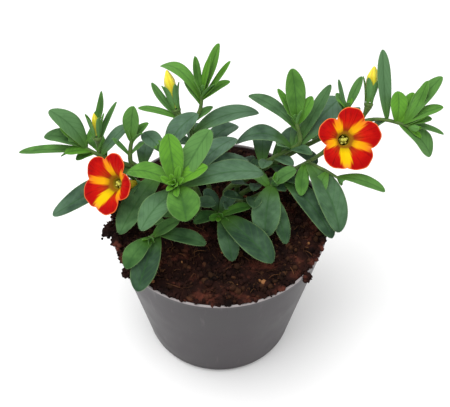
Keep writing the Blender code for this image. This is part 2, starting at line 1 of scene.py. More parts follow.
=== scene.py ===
# %% [markdown]
# # A calibrachoa in its nursery pot
#
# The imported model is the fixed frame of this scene. It holds plain solids for the pot, the
# peat, ten leafy shoots, two open flowers with their eyes, and three buds. This notebook
# keeps those places and sizes, and builds what the eye wants: thin leaves with veins and
# hairs, velvety petals, crumbly peat and a satin plastic pot.
#
# Every new piece is worked out with numpy as a surface of two parameters, and a mesh is
# filled from whole arrays. Lengths are written in millimetres and turned to metres once.

import math

import bpy
import numpy as np
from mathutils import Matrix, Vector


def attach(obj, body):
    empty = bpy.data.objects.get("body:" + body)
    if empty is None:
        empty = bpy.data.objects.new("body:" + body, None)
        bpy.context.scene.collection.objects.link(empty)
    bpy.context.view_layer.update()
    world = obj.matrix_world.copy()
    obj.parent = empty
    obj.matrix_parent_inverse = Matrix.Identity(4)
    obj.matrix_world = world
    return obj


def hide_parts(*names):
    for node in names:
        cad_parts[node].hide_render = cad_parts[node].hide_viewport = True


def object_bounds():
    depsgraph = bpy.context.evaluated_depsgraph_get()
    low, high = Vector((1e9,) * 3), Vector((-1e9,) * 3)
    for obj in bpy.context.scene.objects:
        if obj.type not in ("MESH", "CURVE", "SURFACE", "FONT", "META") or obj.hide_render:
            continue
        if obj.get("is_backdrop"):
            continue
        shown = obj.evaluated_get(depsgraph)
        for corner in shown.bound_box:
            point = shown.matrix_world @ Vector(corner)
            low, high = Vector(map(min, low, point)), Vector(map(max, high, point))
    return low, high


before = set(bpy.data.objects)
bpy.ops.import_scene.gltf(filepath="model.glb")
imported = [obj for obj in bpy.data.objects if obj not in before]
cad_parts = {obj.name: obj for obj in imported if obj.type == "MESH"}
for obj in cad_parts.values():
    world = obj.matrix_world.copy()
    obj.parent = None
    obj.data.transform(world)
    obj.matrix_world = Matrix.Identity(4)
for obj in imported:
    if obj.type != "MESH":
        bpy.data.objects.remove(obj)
CAD_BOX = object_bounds()
MM = 0.001
INSET = np.array([2e-5, 2e-5, 0.0])
BODY = "root"
print("nodes:", len(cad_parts))

# %% [markdown]
# ## The camera
#
# The photograph looks down on the pot from about 49 degrees above the table, from a third
# of a metre away. A camera can be turned by angles, but it is easier to reason about two
# points: where it stands, and what it looks at. Here the second point is the middle of the
# rim. A small shift of the lens then slides the picture into place without turning it.

# %% Place the camera
RIM_HEIGHT = 82.0
CAMERA_DISTANCE = 340.0
CAMERA_RISE = math.radians(48.8)
CAMERA_AIM = np.array([0.0, 0.0, RIM_HEIGHT])
FOCAL_LENGTH = 56.0
SENSOR_WIDTH = 36.0
LENS_SHIFT = (0.0127, 0.0291)
NEAREST_SEEN = 10.0


def look_at(eye, target):
    """Turn of a camera that stands at eye and looks at target, with the horizon level."""
    towards = np.asarray(target, float) - np.asarray(eye, float)
    yaw = -math.atan2(towards[0], towards[1])
    pitch = math.atan2(towards[2], math.hypot(towards[0], towards[1]))
    return (math.pi / 2 + pitch, 0.0, yaw)


eye = CAMERA_AIM + CAMERA_DISTANCE * np.array([0.0, -math.cos(CAMERA_RISE),
                                               math.sin(CAMERA_RISE)])
camera_data = bpy.data.cameras.new("photo_camera")
camera_data.lens = FOCAL_LENGTH
camera_data.sensor_width = SENSOR_WIDTH
camera_data.shift_x, camera_data.shift_y = LENS_SHIFT
camera_data.clip_start = NEAREST_SEEN * MM
camera = bpy.data.objects.new("photo_camera", camera_data)
camera.location = eye * MM
camera.rotation_euler = look_at(eye, CAMERA_AIM)
bpy.context.scene.collection.objects.link(camera)
bpy.context.scene.camera = camera
print("camera at", np.round(eye, 1), "mm")

# %% [markdown]
# ## From arrays to faces
#
# A surface of two parameters is a grid of points: rows run along it and columns run across.
# Neighbouring points make four-sided faces, and those faces follow a simple rule of indices,
# so they too can be made as one array. A leaf is two such grids, an upper and a lower face,
# stitched together round the edge. A pot or a petal is a row of rings with a pole at either
# end. Both make closed bodies, as thin as we like.

# %% Grids, sheets and rings
def grid_quads(rows, columns, first=0, wrap=False):
    """Corner indices of the faces between the neighbouring points of a grid.

    Point (r, c) has index first + r * columns + c. With wrap, the last column meets the first.
    """
    r, c = np.meshgrid(np.arange(rows - 1), np.arange(columns if wrap else columns - 1),
                       indexing="ij")
    right = (c + 1) % columns
    corners = (r * columns + c, r * columns + right, (r + 1) * columns + right,
               (r + 1) * columns + c)
    return first + np.stack(corners, axis=-1).reshape(-1, 4)


def closed_sheet(upper, lower):
    """Points and faces of a thin closed body between two grids of the same shape.

    The upper grid's faces keep their order, the lower grid's are reversed, and a strip of
    faces runs once round the border from one to the other.
    """
    rows, columns, _ = upper.shape
    shift = rows * columns
    points = np.concatenate((upper.reshape(-1, 3), lower.reshape(-1, 3)))
    top = grid_quads(rows, columns)
    bottom = grid_quads(rows, columns, shift)[:, ::-1]
    index = np.arange(shift).reshape(rows, columns)
    border = np.concatenate((index[0, :-1], index[:-1, -1], index[-1, :0:-1], index[:0:-1, 0]))
    after = np.roll(border, -1)
    rim = np.stack((after, border, border + shift, after + shift), axis=-1)
    return points, np.concatenate((top, bottom, rim))


def closed_rings(rings):
    """A closed body from rings of points: the first and the last ring each get a pole."""
    count, segments, _ = rings.shape
    poles = np.stack((rings[0].mean(axis=0), rings[-1].mean(axis=0)))
    points = np.concatenate((rings.reshape(-1, 3), poles))
    here = np.arange(segments)
    there = np.roll(here, -1)
    last = (count - 1) * segments
    start = np.stack((np.full(segments, count * segments), there, here), -1)
    end = np.stack((np.full(segments, count * segments + 1), last + here, last + there), -1)
    return points, grid_quads(count, segments, wrap=True), start.tolist() + end.tolist()


print("faces of a grid of 3 by 3 points:", len(grid_quads(3, 3)))

# %% [markdown]
# Three small tools come back all through the notebook: even angles round a circle, points
# round an axis, and vectors of length one. With them a stem is quickly made. Its rings are
# carried along a path, each on two axes that lie square to it.

# %% Circles and tubes
def circle(count):
    """Angles in even steps once round, the last one a step short of the first."""
    return np.linspace(0, math.tau, count, endpoint=False)


def around(reach, angle, height):
    """Points round the z axis: (r cos a, r sin a, z) for a reach r, an angle a and a height z."""
    return np.stack(np.broadcast_arrays(reach * np.cos(angle), reach * np.sin(angle), height), -1)


def unit(vectors):
    """Vectors of length one in the same directions."""
    return vectors / np.maximum(np.linalg.norm(vectors, axis=-1, keepdims=True), 1e-9)


def tube(path, radii, sides=10):
    """A round tube: circles of the given radii carried along a path, with closed ends.

    Each circle lies square to the path, on two axes made from the path's direction and a
    fixed helper: the axis that the path stays furthest from. Flat caps close both ends.
    """
    path = np.asarray(path, float)
    ahead = unit(np.gradient(path, axis=0))
    helper = np.eye(3)[np.argmin(np.abs(ahead).max(axis=0))]
    side = unit(np.cross(ahead, helper))[:, None]
    other = np.cross(ahead, side[:, 0])[:, None]
    turn = circle(sides)[:, None]
    ring = side * np.cos(turn) + other * np.sin(turn)
    points = path[:, None] + ring * np.asarray(radii, float)[:, None, None]
    start = np.arange(sides)[::-1].tolist()
    end = (np.arange(sides) + (len(path) - 1) * sides).tolist()
    return points.reshape(-1, 3), grid_quads(len(path), sides, wrap=True), [start, end]


print("steps of a circle of four:", np.degrees(circle(4)))

# %% [markdown]
# ## From faces to pieces
#
# A piece is often made of many bodies: a shoot has dozens of leaves. The class below collects
# them with a few values for every point, such as a leaf's age, which the shader reads later.
# When it builds the mesh, it also seats the piece on the frame. Random numbers come from
# seeds made of words, so that every run grows the same plant.

# %% Collect and build
class Parts:
    """Collects the bodies of one piece: points, faces and one row of values for every point."""

    def __init__(self, *value_names):
        self.names = value_names
        self.points = []
        self.faces = []
        self.values = []
        self.count = 0

    def add(self, points, quads, caps=(), **values):
        """Adds one body. Each value is a number for the whole body, or one for every point."""
        self.points.append(points)
        self.faces += (quads + self.count).tolist()
        self.faces += [[corner + self.count for corner in cap] for cap in caps]
        columns = [np.broadcast_to(values.get(name, 0.0), len(points)) for name in self.names]
        self.values.append(np.stack(columns, axis=-1) if columns else np.zeros((len(points), 0)))
        self.count += len(points)

    def build(self, name, material, node=None, slot=None):
        """Makes the mesh object, stores the values as attributes and seats it on the frame.

        A dressed piece, one with a slot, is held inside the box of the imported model.
        """
        points = np.concatenate(self.points) * MM
        if slot:
            points = np.clip(points, np.array(CAD_BOX[0]) + INSET, np.array(CAD_BOX[1]) - INSET)
        mesh = bpy.data.meshes.new(name)
        mesh.from_pydata(points, [], self.faces)
        values = np.concatenate(self.values)
        for column, label in enumerate(self.names):
            attribute = mesh.attributes.new(label, "FLOAT", "POINT")
            attribute.data.foreach_set("value", values[:, column].astype(np.float32))
        mesh.polygons.foreach_set("use_smooth", np.ones(len(mesh.polygons), bool))
        mesh.materials.append(material)
        mesh.update()
        piece = bpy.data.objects.new(name, mesh)
        bpy.context.scene.collection.objects.link(piece)
        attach(piece, BODY)
        if node:
            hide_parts(node)
        return piece


def random_for(*words):
    """A random generator that always gives the same draws for the same words."""
    seed = 0
    for word in words:
        for letter in str(word):
            seed = (seed * 31 + ord(letter)) % 2 ** 31
    return np.random.default_rng(seed)


print("a first draw:", round(random_for("plant").uniform(), 3))

# %% [markdown]
# ## Shader helpers
#
# A material is a small network of nodes. The helper below makes a node, sets what is
# constant and links what comes from another node, so that each finish reads from top to
# bottom like a recipe. A number that is the same all over a surface goes straight onto the
# shader's own socket.

# %% Nodes in one line each
def srgb(red, green, blue):
    """A colour as it looks on a screen, 0 to 255, turned into the shader's linear numbers."""
    return tuple(((value / 255 + 0.055) / 1.055) ** 2.4 for value in (red, green, blue))


class Recipe:
    """A new material with its shader, and short ways to add nodes to it."""

    def __init__(self, name, roughness, **constants):
        self.material = bpy.data.materials.new(name)
        self.material.use_nodes = True
        self.tree = self.material.node_tree
        self.shader = self.tree.nodes["Principled BSDF"]
        self.shader.inputs["Roughness"].default_value = roughness
        for socket, value in constants.items():
            self.shader.inputs[socket.replace("_", " ")].default_value = value

    def node(self, kind, inputs=None, output=0, **settings):
        """Adds a node; inputs are numbers, colours or another node's output."""
        made = self.tree.nodes.new(kind)
        for name, value in settings.items():
            setattr(made, name, value)
        for name, value in (inputs or {}).items():
            if isinstance(value, bpy.types.NodeSocket):
                self.tree.links.new(value, made.inputs[name])
            else:
                made.inputs[name].default_value = value
        return made.outputs[output]

    def attributes(self, *names):
        """The values stored on the piece's points under these names."""
        return [self.node("ShaderNodeAttribute", output="Fac", attribute_name=name)
                for name in names]

    def place(self):
        """The point's place on the object, in metres."""
        return self.node("ShaderNodeTexCoord", output="Object")

    def noise(self, scale, detail=3.0, vector=None, roughness=0.5):
        """Soft random grain; scale is in cycles per metre."""
        return self.node("ShaderNodeTexNoise", {"Vector": vector or self.place(), "Scale": scale,
                                                "Detail": detail, "Roughness": roughness})

    def math(self, operation, first, second=0.0):
        """One sum on two numbers."""
        return self.node("ShaderNodeMath", {0: first, 1: second}, operation=operation)

    def times(self, value, factor):
        """A value made weaker or stronger."""
        return self.math("MULTIPLY", value, factor)

    def ramp(self, value, *stops):
        """Colours along a value: each stop is (place, colour)."""
        made = self.tree.nodes.new("ShaderNodeValToRGB")
        self.tree.links.new(value, made.inputs[0])
        marks = made.color_ramp.elements
        while len(marks) < len(stops):
            marks.new(0.5)
        for mark, (place, colour) in zip(marks, stops):
            mark.position = place
            mark.color = (*colour, 1.0)
        return made.outputs["Color"]

    def steps(self, value, low, high):
        """0 below low and 1 above high, with a smooth rise between."""
        return self.node("ShaderNodeMapRange", {"Value": value, "From Min": low, "From Max": high},
                         interpolation_type="SMOOTHSTEP")

    def mix(self, share, first, second):
        """Two colours mixed by a share. The node keeps its colours at sockets 6 and 7."""
        colours = {socket: value if isinstance(value, bpy.types.NodeSocket) else (*value, 1.0)
                   for socket, value in ((6, first), (7, second))}
        return self.node("ShaderNodeMix", {0: share, **colours}, output=2, data_type="RGBA")

    def finish(self, colour, height=None, strength=0.3, depth=0.0003, roughness=None):
        """Links the colour, a bump from a height and, if it varies, the roughness."""
        self.tree.links.new(colour, self.shader.inputs["Base Color"])
        if roughness is not None:
            self.tree.links.new(roughness, self.shader.inputs["Roughness"])
        if height is not None:
            bump = self.node("ShaderNodeBump", {"Strength": strength, "Distance": depth,
                                                "Height": height}, output="Normal")
            self.tree.links.new(bump, self.shader.inputs["Normal"])
        return self.material


print("middle grey in linear numbers:", np.round(srgb(128, 128, 128), 3))

# %% [markdown]
# ## The nursery pot
#
# A nursery pot is thin plastic, blown or pressed in one go: a wall that widens upwards, a
# rounded foot, a thin rim and a floor with holes for the water. A turned piece is a profile
# carried round an axis. We walk the profile out under the floor, up the outside, over the
# rim and down the inside, and let a Boolean take the drainage holes out of the floor.

# %% Shape of the pot
RIM_RADIUS = 52.5
BASE_RADIUS = 39.0
WALL = 1.1
FLOOR = 1.5
BASE_ROUND = 5.0
SHOULDER = 80.5
# Heights between which the rim gets a pale band of painted highlight
RIM_HIGHLIGHT_BAND = (80.8, 81.4)
DRAIN_HOLES = 6
DRAIN_RADIUS = 3.5
DRAIN_CIRCLE = 25.0
FLOOR_RINGS = (DRAIN_CIRCLE - 8.0, DRAIN_CIRCLE + 7.2)
POT_SEGMENTS = 192
POT_SWELL = 0.12


def wall_radius(height):
    """Outer radius of the pot at a height: a straight taper from the base to the rim."""
    return BASE_RADIUS + (RIM_RADIUS - BASE_RADIUS) * height / RIM_HEIGHT


def arc(centre, radius, start, end, count):
    """Points of a circular arc in the plane of the profile, between two angles in degrees."""
    angle = np.radians(np.linspace(start, end, count))
    return np.stack((centre[0] + radius * np.cos(angle), centre[1] + radius * np.sin(angle)), -1)


def turned(profile, segments, wobble):
    """Rings of a body of revolution: every profile point (radius, height) makes one ring.

    The wobble adds a little to the radius as a function of angle and height.
    """
    radius, height = profile.T[..., None]
    turn = circle(segments)
    return around(radius + wobble(turn, height), turn, height)


def pot_profile():
    """Half section: out under the floor, up the outside, over the rim and down the inside."""
    inner_foot = wall_radius(BASE_ROUND) - WALL - BASE_ROUND
    floor = [(radius, FLOOR) for radius in FLOOR_RINGS]
    foot = arc((inner_foot, FLOOR + BASE_ROUND), BASE_ROUND, -90, 0, 8)
    inside = [(wall_radius(z) - WALL, z) for z in np.linspace(FLOOR + BASE_ROUND, SHOULDER, 24)[1:]]
    rim = arc((RIM_RADIUS - 0.5 * WALL, RIM_HEIGHT - 0.5 * WALL), 0.5 * WALL, 175, 0, 9)
    outside = [(wall_radius(z), z) for z in np.linspace(SHOULDER, BASE_ROUND, 30)[:-1]]
    heel = arc((wall_radius(BASE_ROUND) - BASE_ROUND, BASE_ROUND), BASE_ROUND, 0, -90, 12)
    under = [(radius, 0.0) for radius in FLOOR_RINGS[::-1]]
    return np.concatenate((floor, foot, inside, rim, outside, heel, under))[::-1]


def pot_wobble(angle, height):
    """Thin plastic is never quite round: two slow waves, strongest at the middle height."""
    swell = np.sin(math.pi * np.clip(height / RIM_HEIGHT, 0, 1))
    return -POT_SWELL * swell * (1 + np.sin(3 * angle + 0.7) * 0.5 + np.sin(7 * angle) * 0.3)


print("profile of the pot:", len(pot_profile()), "points")

# %% [markdown]
# The finish starts from three sizes of noise: clouds, streaks and specks. The pale band of
# painted highlight on the rim is chosen by height alone. The holes are drilled with a cutter
# that is thrown away afterwards.

# %% Finish and drill the pot
def pot_finish():
    """Satin dark-grey plastic: mottled, faintly streaked downwards, with a painted highlight on the
    rim.
    """
    recipe = Recipe("satin_grey_plastic", 0.42, Specular_IOR_Level=0.22)
    place = recipe.place()
    cloud = recipe.noise(38.0, 4.0)
    stretched = recipe.node("ShaderNodeMapping", {"Vector": place, "Scale": (1.0, 1.0, 0.08)})
    streak = recipe.noise(260.0, 3.0, stretched)
    speck = recipe.noise(900.0, 2.0)
    mottle = recipe.ramp(cloud, (0.30, (0.016, 0.0125, 0.0145)), (0.70, (0.040, 0.033, 0.038)))
    lined = recipe.mix(recipe.steps(streak, 0.62, 0.82), mottle, (0.066, 0.056, 0.061))
    dusty = recipe.mix(recipe.steps(speck, 0.68, 0.76), lined, (0.020, 0.014, 0.012))
    height = recipe.node("ShaderNodeSeparateXYZ", {0: place}, output="Z")
    # Painted highlight: a pale band round the top of the rim, chosen by height.
    rim = recipe.steps(height, RIM_HIGHLIGHT_BAND[0] * MM, RIM_HIGHLIGHT_BAND[1] * MM)
    colour = recipe.mix(rim, dusty, (0.27, 0.245, 0.245))
    rough = recipe.ramp(cloud, (0.3, (0.32,) * 3), (0.7, (0.48,) * 3))
    return recipe.finish(colour, streak, 0.10, 0.0002, roughness=rough)


def drill_drains(piece):
    """Takes the round holes out of the pot's floor with one Boolean, and applies it."""
    drill = Parts()
    for index in range(DRAIN_HOLES):
        angle = math.tau * (index + 0.03) / DRAIN_HOLES
        centre = DRAIN_CIRCLE * np.array([math.cos(angle), math.sin(angle)])
        path = [(*centre, -2.0), (*centre, 0.5 * FLOOR), (*centre, FLOOR + 2.0)]
        drill.add(*tube(path, [DRAIN_RADIUS] * 3, 32))
    cutter = drill.build("drain_cutter", pot_material)
    cut = piece.modifiers.new("drains", "BOOLEAN")
    cut.operation = "DIFFERENCE"
    cut.object = cutter
    graph = bpy.context.evaluated_depsgraph_get()
    drilled = bpy.data.meshes.new_from_object(piece.evaluated_get(graph))
    piece.modifiers.clear()
    piece.data = drilled
    bpy.data.objects.remove(cutter)


pot_material = pot_finish()
pot = Parts()
pot.add(*closed_rings(turned(pot_profile(), POT_SEGMENTS, pot_wobble)))
pot_piece = pot.build("pot_shell", pot_material, "pot", "pot")
drill_drains(pot_piece)
print("pot:", len(pot_piece.data.polygons), "faces")

# %% [markdown]
# ## The peat
#
# Potting peat is a felt of brown fibres, crumbs and a few chips of bark, filled to the rim.
# The ground itself is a disc of points in rings. Its height comes from smooth random grain
# at three sizes, which is the usual way to make earth: large lumps first, then smaller ones.

# %% Height of the peat
GAP = 0.3
SOIL_EDGE = 81.3
SOIL_DIP = 1.2
SOIL_RINGS = 90
SOIL_SEGMENTS = 240
LATTICE = 97
RELIEF = ((1.1, 7.0), (0.8, 2.6), (0.4, 1.1))  # height and size of large, small and fine lumps


def grain(x, y, size, seed):
    """Smooth random heights from -1 to 1: a lattice of draws, blended between its points."""
    lattice = random_for("grain", seed).uniform(-1, 1, (LATTICE, LATTICE))
    column, row = np.floor(x / size).astype(int), np.floor(y / size).astype(int)
    across, up = x / size - column, y / size - row
    across, up = across * across * (3 - 2 * across), up * up * (3 - 2 * up)

    def corner(shift_x, shift_y):
        """The draws at one corner of every point's square."""
        return lattice[(column + shift_x) % LATTICE, (row + shift_y) % LATTICE]

    low = corner(0, 0) * (1 - across) + corner(1, 0) * across
    high = corner(0, 1) * (1 - across) + corner(1, 1) * across
    return low * (1 - up) + high * up


def soil_radius(height):
    """The peat fills the pot up to a small gap."""
    return wall_radius(height) - WALL - GAP


def ground(x, y):
    """Height of the peat: level with the rim at its edge, a little lower and lumpy inside."""
    inwards = 1 - np.minimum(np.hypot(x, y) / SOIL_RADIUS, 1.0) ** 2
    relief = sum(high * grain(x, y, size, seed) for seed, (high, size) in enumerate(RELIEF, 1))
    return SOIL_EDGE - SOIL_DIP * inwards + relief * np.minimum(1.0, 4 * inwards)


SOIL_RADIUS = soil_radius(SOIL_EDGE)
print("radius of the peat:", round(SOIL_RADIUS, 1), "mm")

# %% [markdown]
# The rings of the ground go on down inside the pot, so that the peat is a closed body too.

# %% Build the peat
def peat_finish():
    """Moist peat: near black, with reddish-brown and tan fibres, and quite rough."""
    recipe = Recipe("moist_peat", 0.95, Specular_IOR_Level=0.08)
    [tan] = recipe.attributes("tan")
    patch = recipe.noise(120.0, 4.0)
    felt = recipe.noise(700.0, 5.0, roughness=0.7)
    earth = recipe.ramp(patch, (0.34, srgb(15, 8, 7)), (0.56, srgb(38, 20, 16)),
                        (0.74, srgb(90, 47, 36)))
    fibre = recipe.mix(recipe.steps(felt, 0.60, 0.74), earth, srgb(98, 56, 40))
    colour = recipe.mix(tan, fibre, srgb(150, 104, 66))
    return recipe.finish(colour, felt, 0.6, 0.0006)


reach, turn = SOIL_RADIUS * np.linspace(0.004, 1.0, SOIL_RINGS)[:, None], circle(SOIL_SEGMENTS)
top = around(reach, turn, ground(reach * np.cos(turn), reach * np.sin(turn)))
side_height = np.array([60.0, 30.0, FLOOR + BASE_ROUND + GAP, FLOOR + GAP])
side_radius = soil_radius(np.array([60.0, 30.0, BASE_ROUND, BASE_ROUND]))
side_radius[-1] -= BASE_ROUND
side = around(side_radius[:, None], turn, side_height[:, None])
peat_material = peat_finish()
peat = Parts("tan")
peat.add(*closed_rings(np.concatenate((top, side))[::-1]))
peat.build("peat_ground", peat_material, "soil", "soil")
print("ground height:", np.round([top[..., 2].min(), top[..., 2].max()], 1))

# %% [markdown]
# ## Crumbs, fibres and chips
#
# What makes earth look like earth is the litter on it. One small lump is worked out once,
# and then stands in some two and a half thousand places, each time with its own size,
# stretch and turn. The copies of a batch are made with one array product, so a thousand cost
# hardly more than one. Some crumbs lie in heaps on and over the rim, as in the photograph.

# %% Tools for the litter
LUMP_ROWS, LUMP_COLUMNS = 4, 7


def lump_shape():
    """Rings of a small uneven ball of radius one, from its lower pole to its upper one."""
    rise = np.linspace(-1, 1, LUMP_ROWS + 2)[1:-1, None] * 0.5 * math.pi
    uneven = 1 + 0.22 * random_for("lump").uniform(-1, 1, (LUMP_ROWS, LUMP_COLUMNS))
    return around(uneven * np.cos(rise), circle(LUMP_COLUMNS), uneven * np.sin(rise))


def random_turns(draw, count):
    """Random rotation matrices, from the Q of a random matrix's QR product."""
    turns, _ = np.linalg.qr(draw.normal(size=(count, 3, 3)))
    return turns * np.sign(np.linalg.det(turns))[:, None, None]


def scatter(parts, centres, sizes, draw, **values):
    """Places a copy of the lump at every centre, each with its own size, stretch and turn."""
    points, quads, caps = LUMP
    count = len(centres)
    stretch = draw.uniform(0.55, 1.35, (count, 1, 3)) * sizes[:, None, None]
    placed = np.einsum("nij,npj->npi", random_turns(draw, count), points * stretch)
    placed += centres[:, None]
    shift = np.arange(count)[:, None, None] * len(points)
    triangles = np.asarray(caps)[None] + shift
    values = {name: np.repeat(value, len(points)) for name, value in values.items()}
    parts.add(placed.reshape(-1, 3), (quads[None] + shift).reshape(-1, 4),
              triangles.reshape(-1, 3).tolist(), **values)


def disc_points(draw, count, radius):
    """Random points spread evenly over a disc."""
    reach = radius * np.sqrt(draw.uniform(0, 1, count))
    turn = draw.uniform(0, math.tau, count)
    return reach * np.cos(turn), reach * np.sin(turn)


LUMP = closed_rings(lump_shape())
litter = Parts("tan")
print("lump:", len(LUMP[0]), "points")

# %% [markdown]
# Small crumbs are far more common than large ones. A power of an even random number makes
# that so: the higher the power, the rarer the large ones.

# %% Scatter the crumbs and heaps
CRUMBS = 1900
CRUMB_LIFT = 0.25  # height of a crumb's middle above the ground, for a size of 1
# Heaps on and over the rim: angle in degrees, how far out, spread round and out, and count
HEAPS = ((188.0, 53.5, 3.4, 2.2, 90), (196.0, 50.8, 5.0, 1.2, 80), (176.0, 51.0, 5.0, 1.0, 60),
         (212.0, 51.2, 5.5, 1.0, 80), (219.0, 53.4, 2.0, 1.0, 26), (318.0, 53.6, 1.6, 0.9, 22),
         (330.0, 51.0, 9.0, 0.7, 70), (352.0, 51.0, 9.0, 0.7, 60), (300.0, 51.0, 6.0, 0.5, 34),
         (245.0, 51.2, 7.0, 0.6, 40), (275.0, 51.3, 10.0, 0.4, 30))

draw = random_for("crumbs")
x, y = disc_points(draw, CRUMBS, SOIL_RADIUS - 1.2)
sizes = 0.4 + 1.3 * draw.uniform(0, 1, CRUMBS) ** 2.2
centres = np.stack((x, y, ground(x, y) + CRUMB_LIFT * sizes), axis=-1)
scatter(litter, centres, sizes, draw, tan=0.15 * draw.uniform(0, 1, CRUMBS) ** 4)

for angle, out, round_spread, out_spread, count in HEAPS:
    sizes = draw.uniform(0.4, 1.35, count)
    way = np.radians(angle) + round_spread * draw.normal(0, 0.6, count) / out
    reach = out + out_spread * draw.normal(0, 0.7, count)
    z = RIM_HEIGHT + CRUMB_LIFT * sizes
    z += draw.uniform(-0.4, 1.5, count) * np.exp(-(reach - out) ** 2)
    z -= 0.9 * np.maximum(reach - RIM_RADIUS, 0.0)
    scatter(litter, around(reach, way, z), sizes, draw, tan=np.zeros(count))
print("with crumbs:", litter.count, "points")

# %% [markdown]
# A fibre is a thin tube whose heading turns evenly from one end to the other. It's laid a
# little above the ground and kept away from the wall.

# %% Lay the fibres and chips
FIBRES = 520
FIBRE_TAPER = np.array([0.4, 1, 1, 1, 1, 0.8, 0.3])
CHIPS = 30
# Three pale chips that the photograph shows: their places and sizes
CHIP_PLACES, CHIP_SIZES = [(20.0, -39.5), (18.5, -38.0), (-30.0, -38.5)], [1.3, 1.0, 1.2]

steps = len(FIBRE_TAPER)
for index in range(FIBRES):
    x, y = disc_points(draw, 1, SOIL_RADIUS - 5.0)
    length, bend = draw.uniform(2.5, 9.0), draw.uniform(-1.0, 1.0)
    heading = draw.uniform(0, math.tau) + bend * np.linspace(0, 1, steps)
    x = x + np.cumsum(np.cos(heading)) * length / steps
    y = y + np.cumsum(np.sin(heading)) * length / steps
    near = np.minimum(1.0, (SOIL_RADIUS - 0.8) / np.hypot(x, y))
    x, y = x * near, y * near
    lift = draw.uniform(0.2, 0.9) + 0.7 * np.sin(np.linspace(0, math.pi, steps))
    thick = draw.uniform(0.07, 0.2)
    litter.add(*tube(np.stack((x, y, ground(x, y) + lift), axis=-1), thick * FIBRE_TAPER, 5),
               tan=0.35 * draw.uniform(0, 1) ** 2)

x, y = disc_points(draw, CHIPS, SOIL_RADIUS - 3.0)
spots = np.concatenate((np.stack((x, y), -1), CHIP_PLACES))
sizes = np.concatenate((draw.uniform(0.35, 0.9, CHIPS), CHIP_SIZES))
centres = np.column_stack((spots, ground(*spots.T) + 0.5))
scatter(litter, centres, sizes, draw, tan=draw.uniform(0.5, 1.0, len(sizes)))
litter.build("peat_litter", peat_material, slot="soil")
print("litter:", litter.count, "points")

# %% [markdown]
# ## Shoots: stems, leaves, sepals
#
# A shoot is described by a few guide points that its stem runs through, and a row of numbers
# for each leaf: where it grows, where its tip is, how wide and bowed it is, and how old. Age
# runs from 0, a bright young green, to 1, the blue-grey green of an old leaf. The places are
# those of the solid model, so that each dressed shoot covers its plain one.

# %% Describe the shoots
# A flower is (foot, point ahead); a bud is (foot, tip, radius).
FLOWERS = {
    "left": ((-39.9, 9.2, 94.8), (-48.2, 0.9, 104.3)),
    "right": ((56.4, 22.0, 111.2), (56.9, 11.5, 121.8)),
}
BUDS = {
    "left": ((-57.5, 21.5, 115.5), (-58.0, 25.0, 126.0), 1.5),
    "top": ((-20.5, 32.5, 123.0), (-24.5, 41.0, 138.5), 2.6),
    "right": ((70.0, 32.0, 127.0), (71.5, 40.5, 141.0), 2.8),
}


def stem(route, radius, leaves=(), tuft=None, calyx=None):
    """One stem: the points it runs through, its foot and end radius, and what grows on it."""
    return {"route": route, "radius": radius, "leaves": leaves, "tuft": tuft, "calyx": calyx}


def from_soil(x, y, *route):
    """A route that comes straight up out of the peat at x, y before it bends away."""
    return ((x, y, 70.0), (x, y, 83.5)) + route


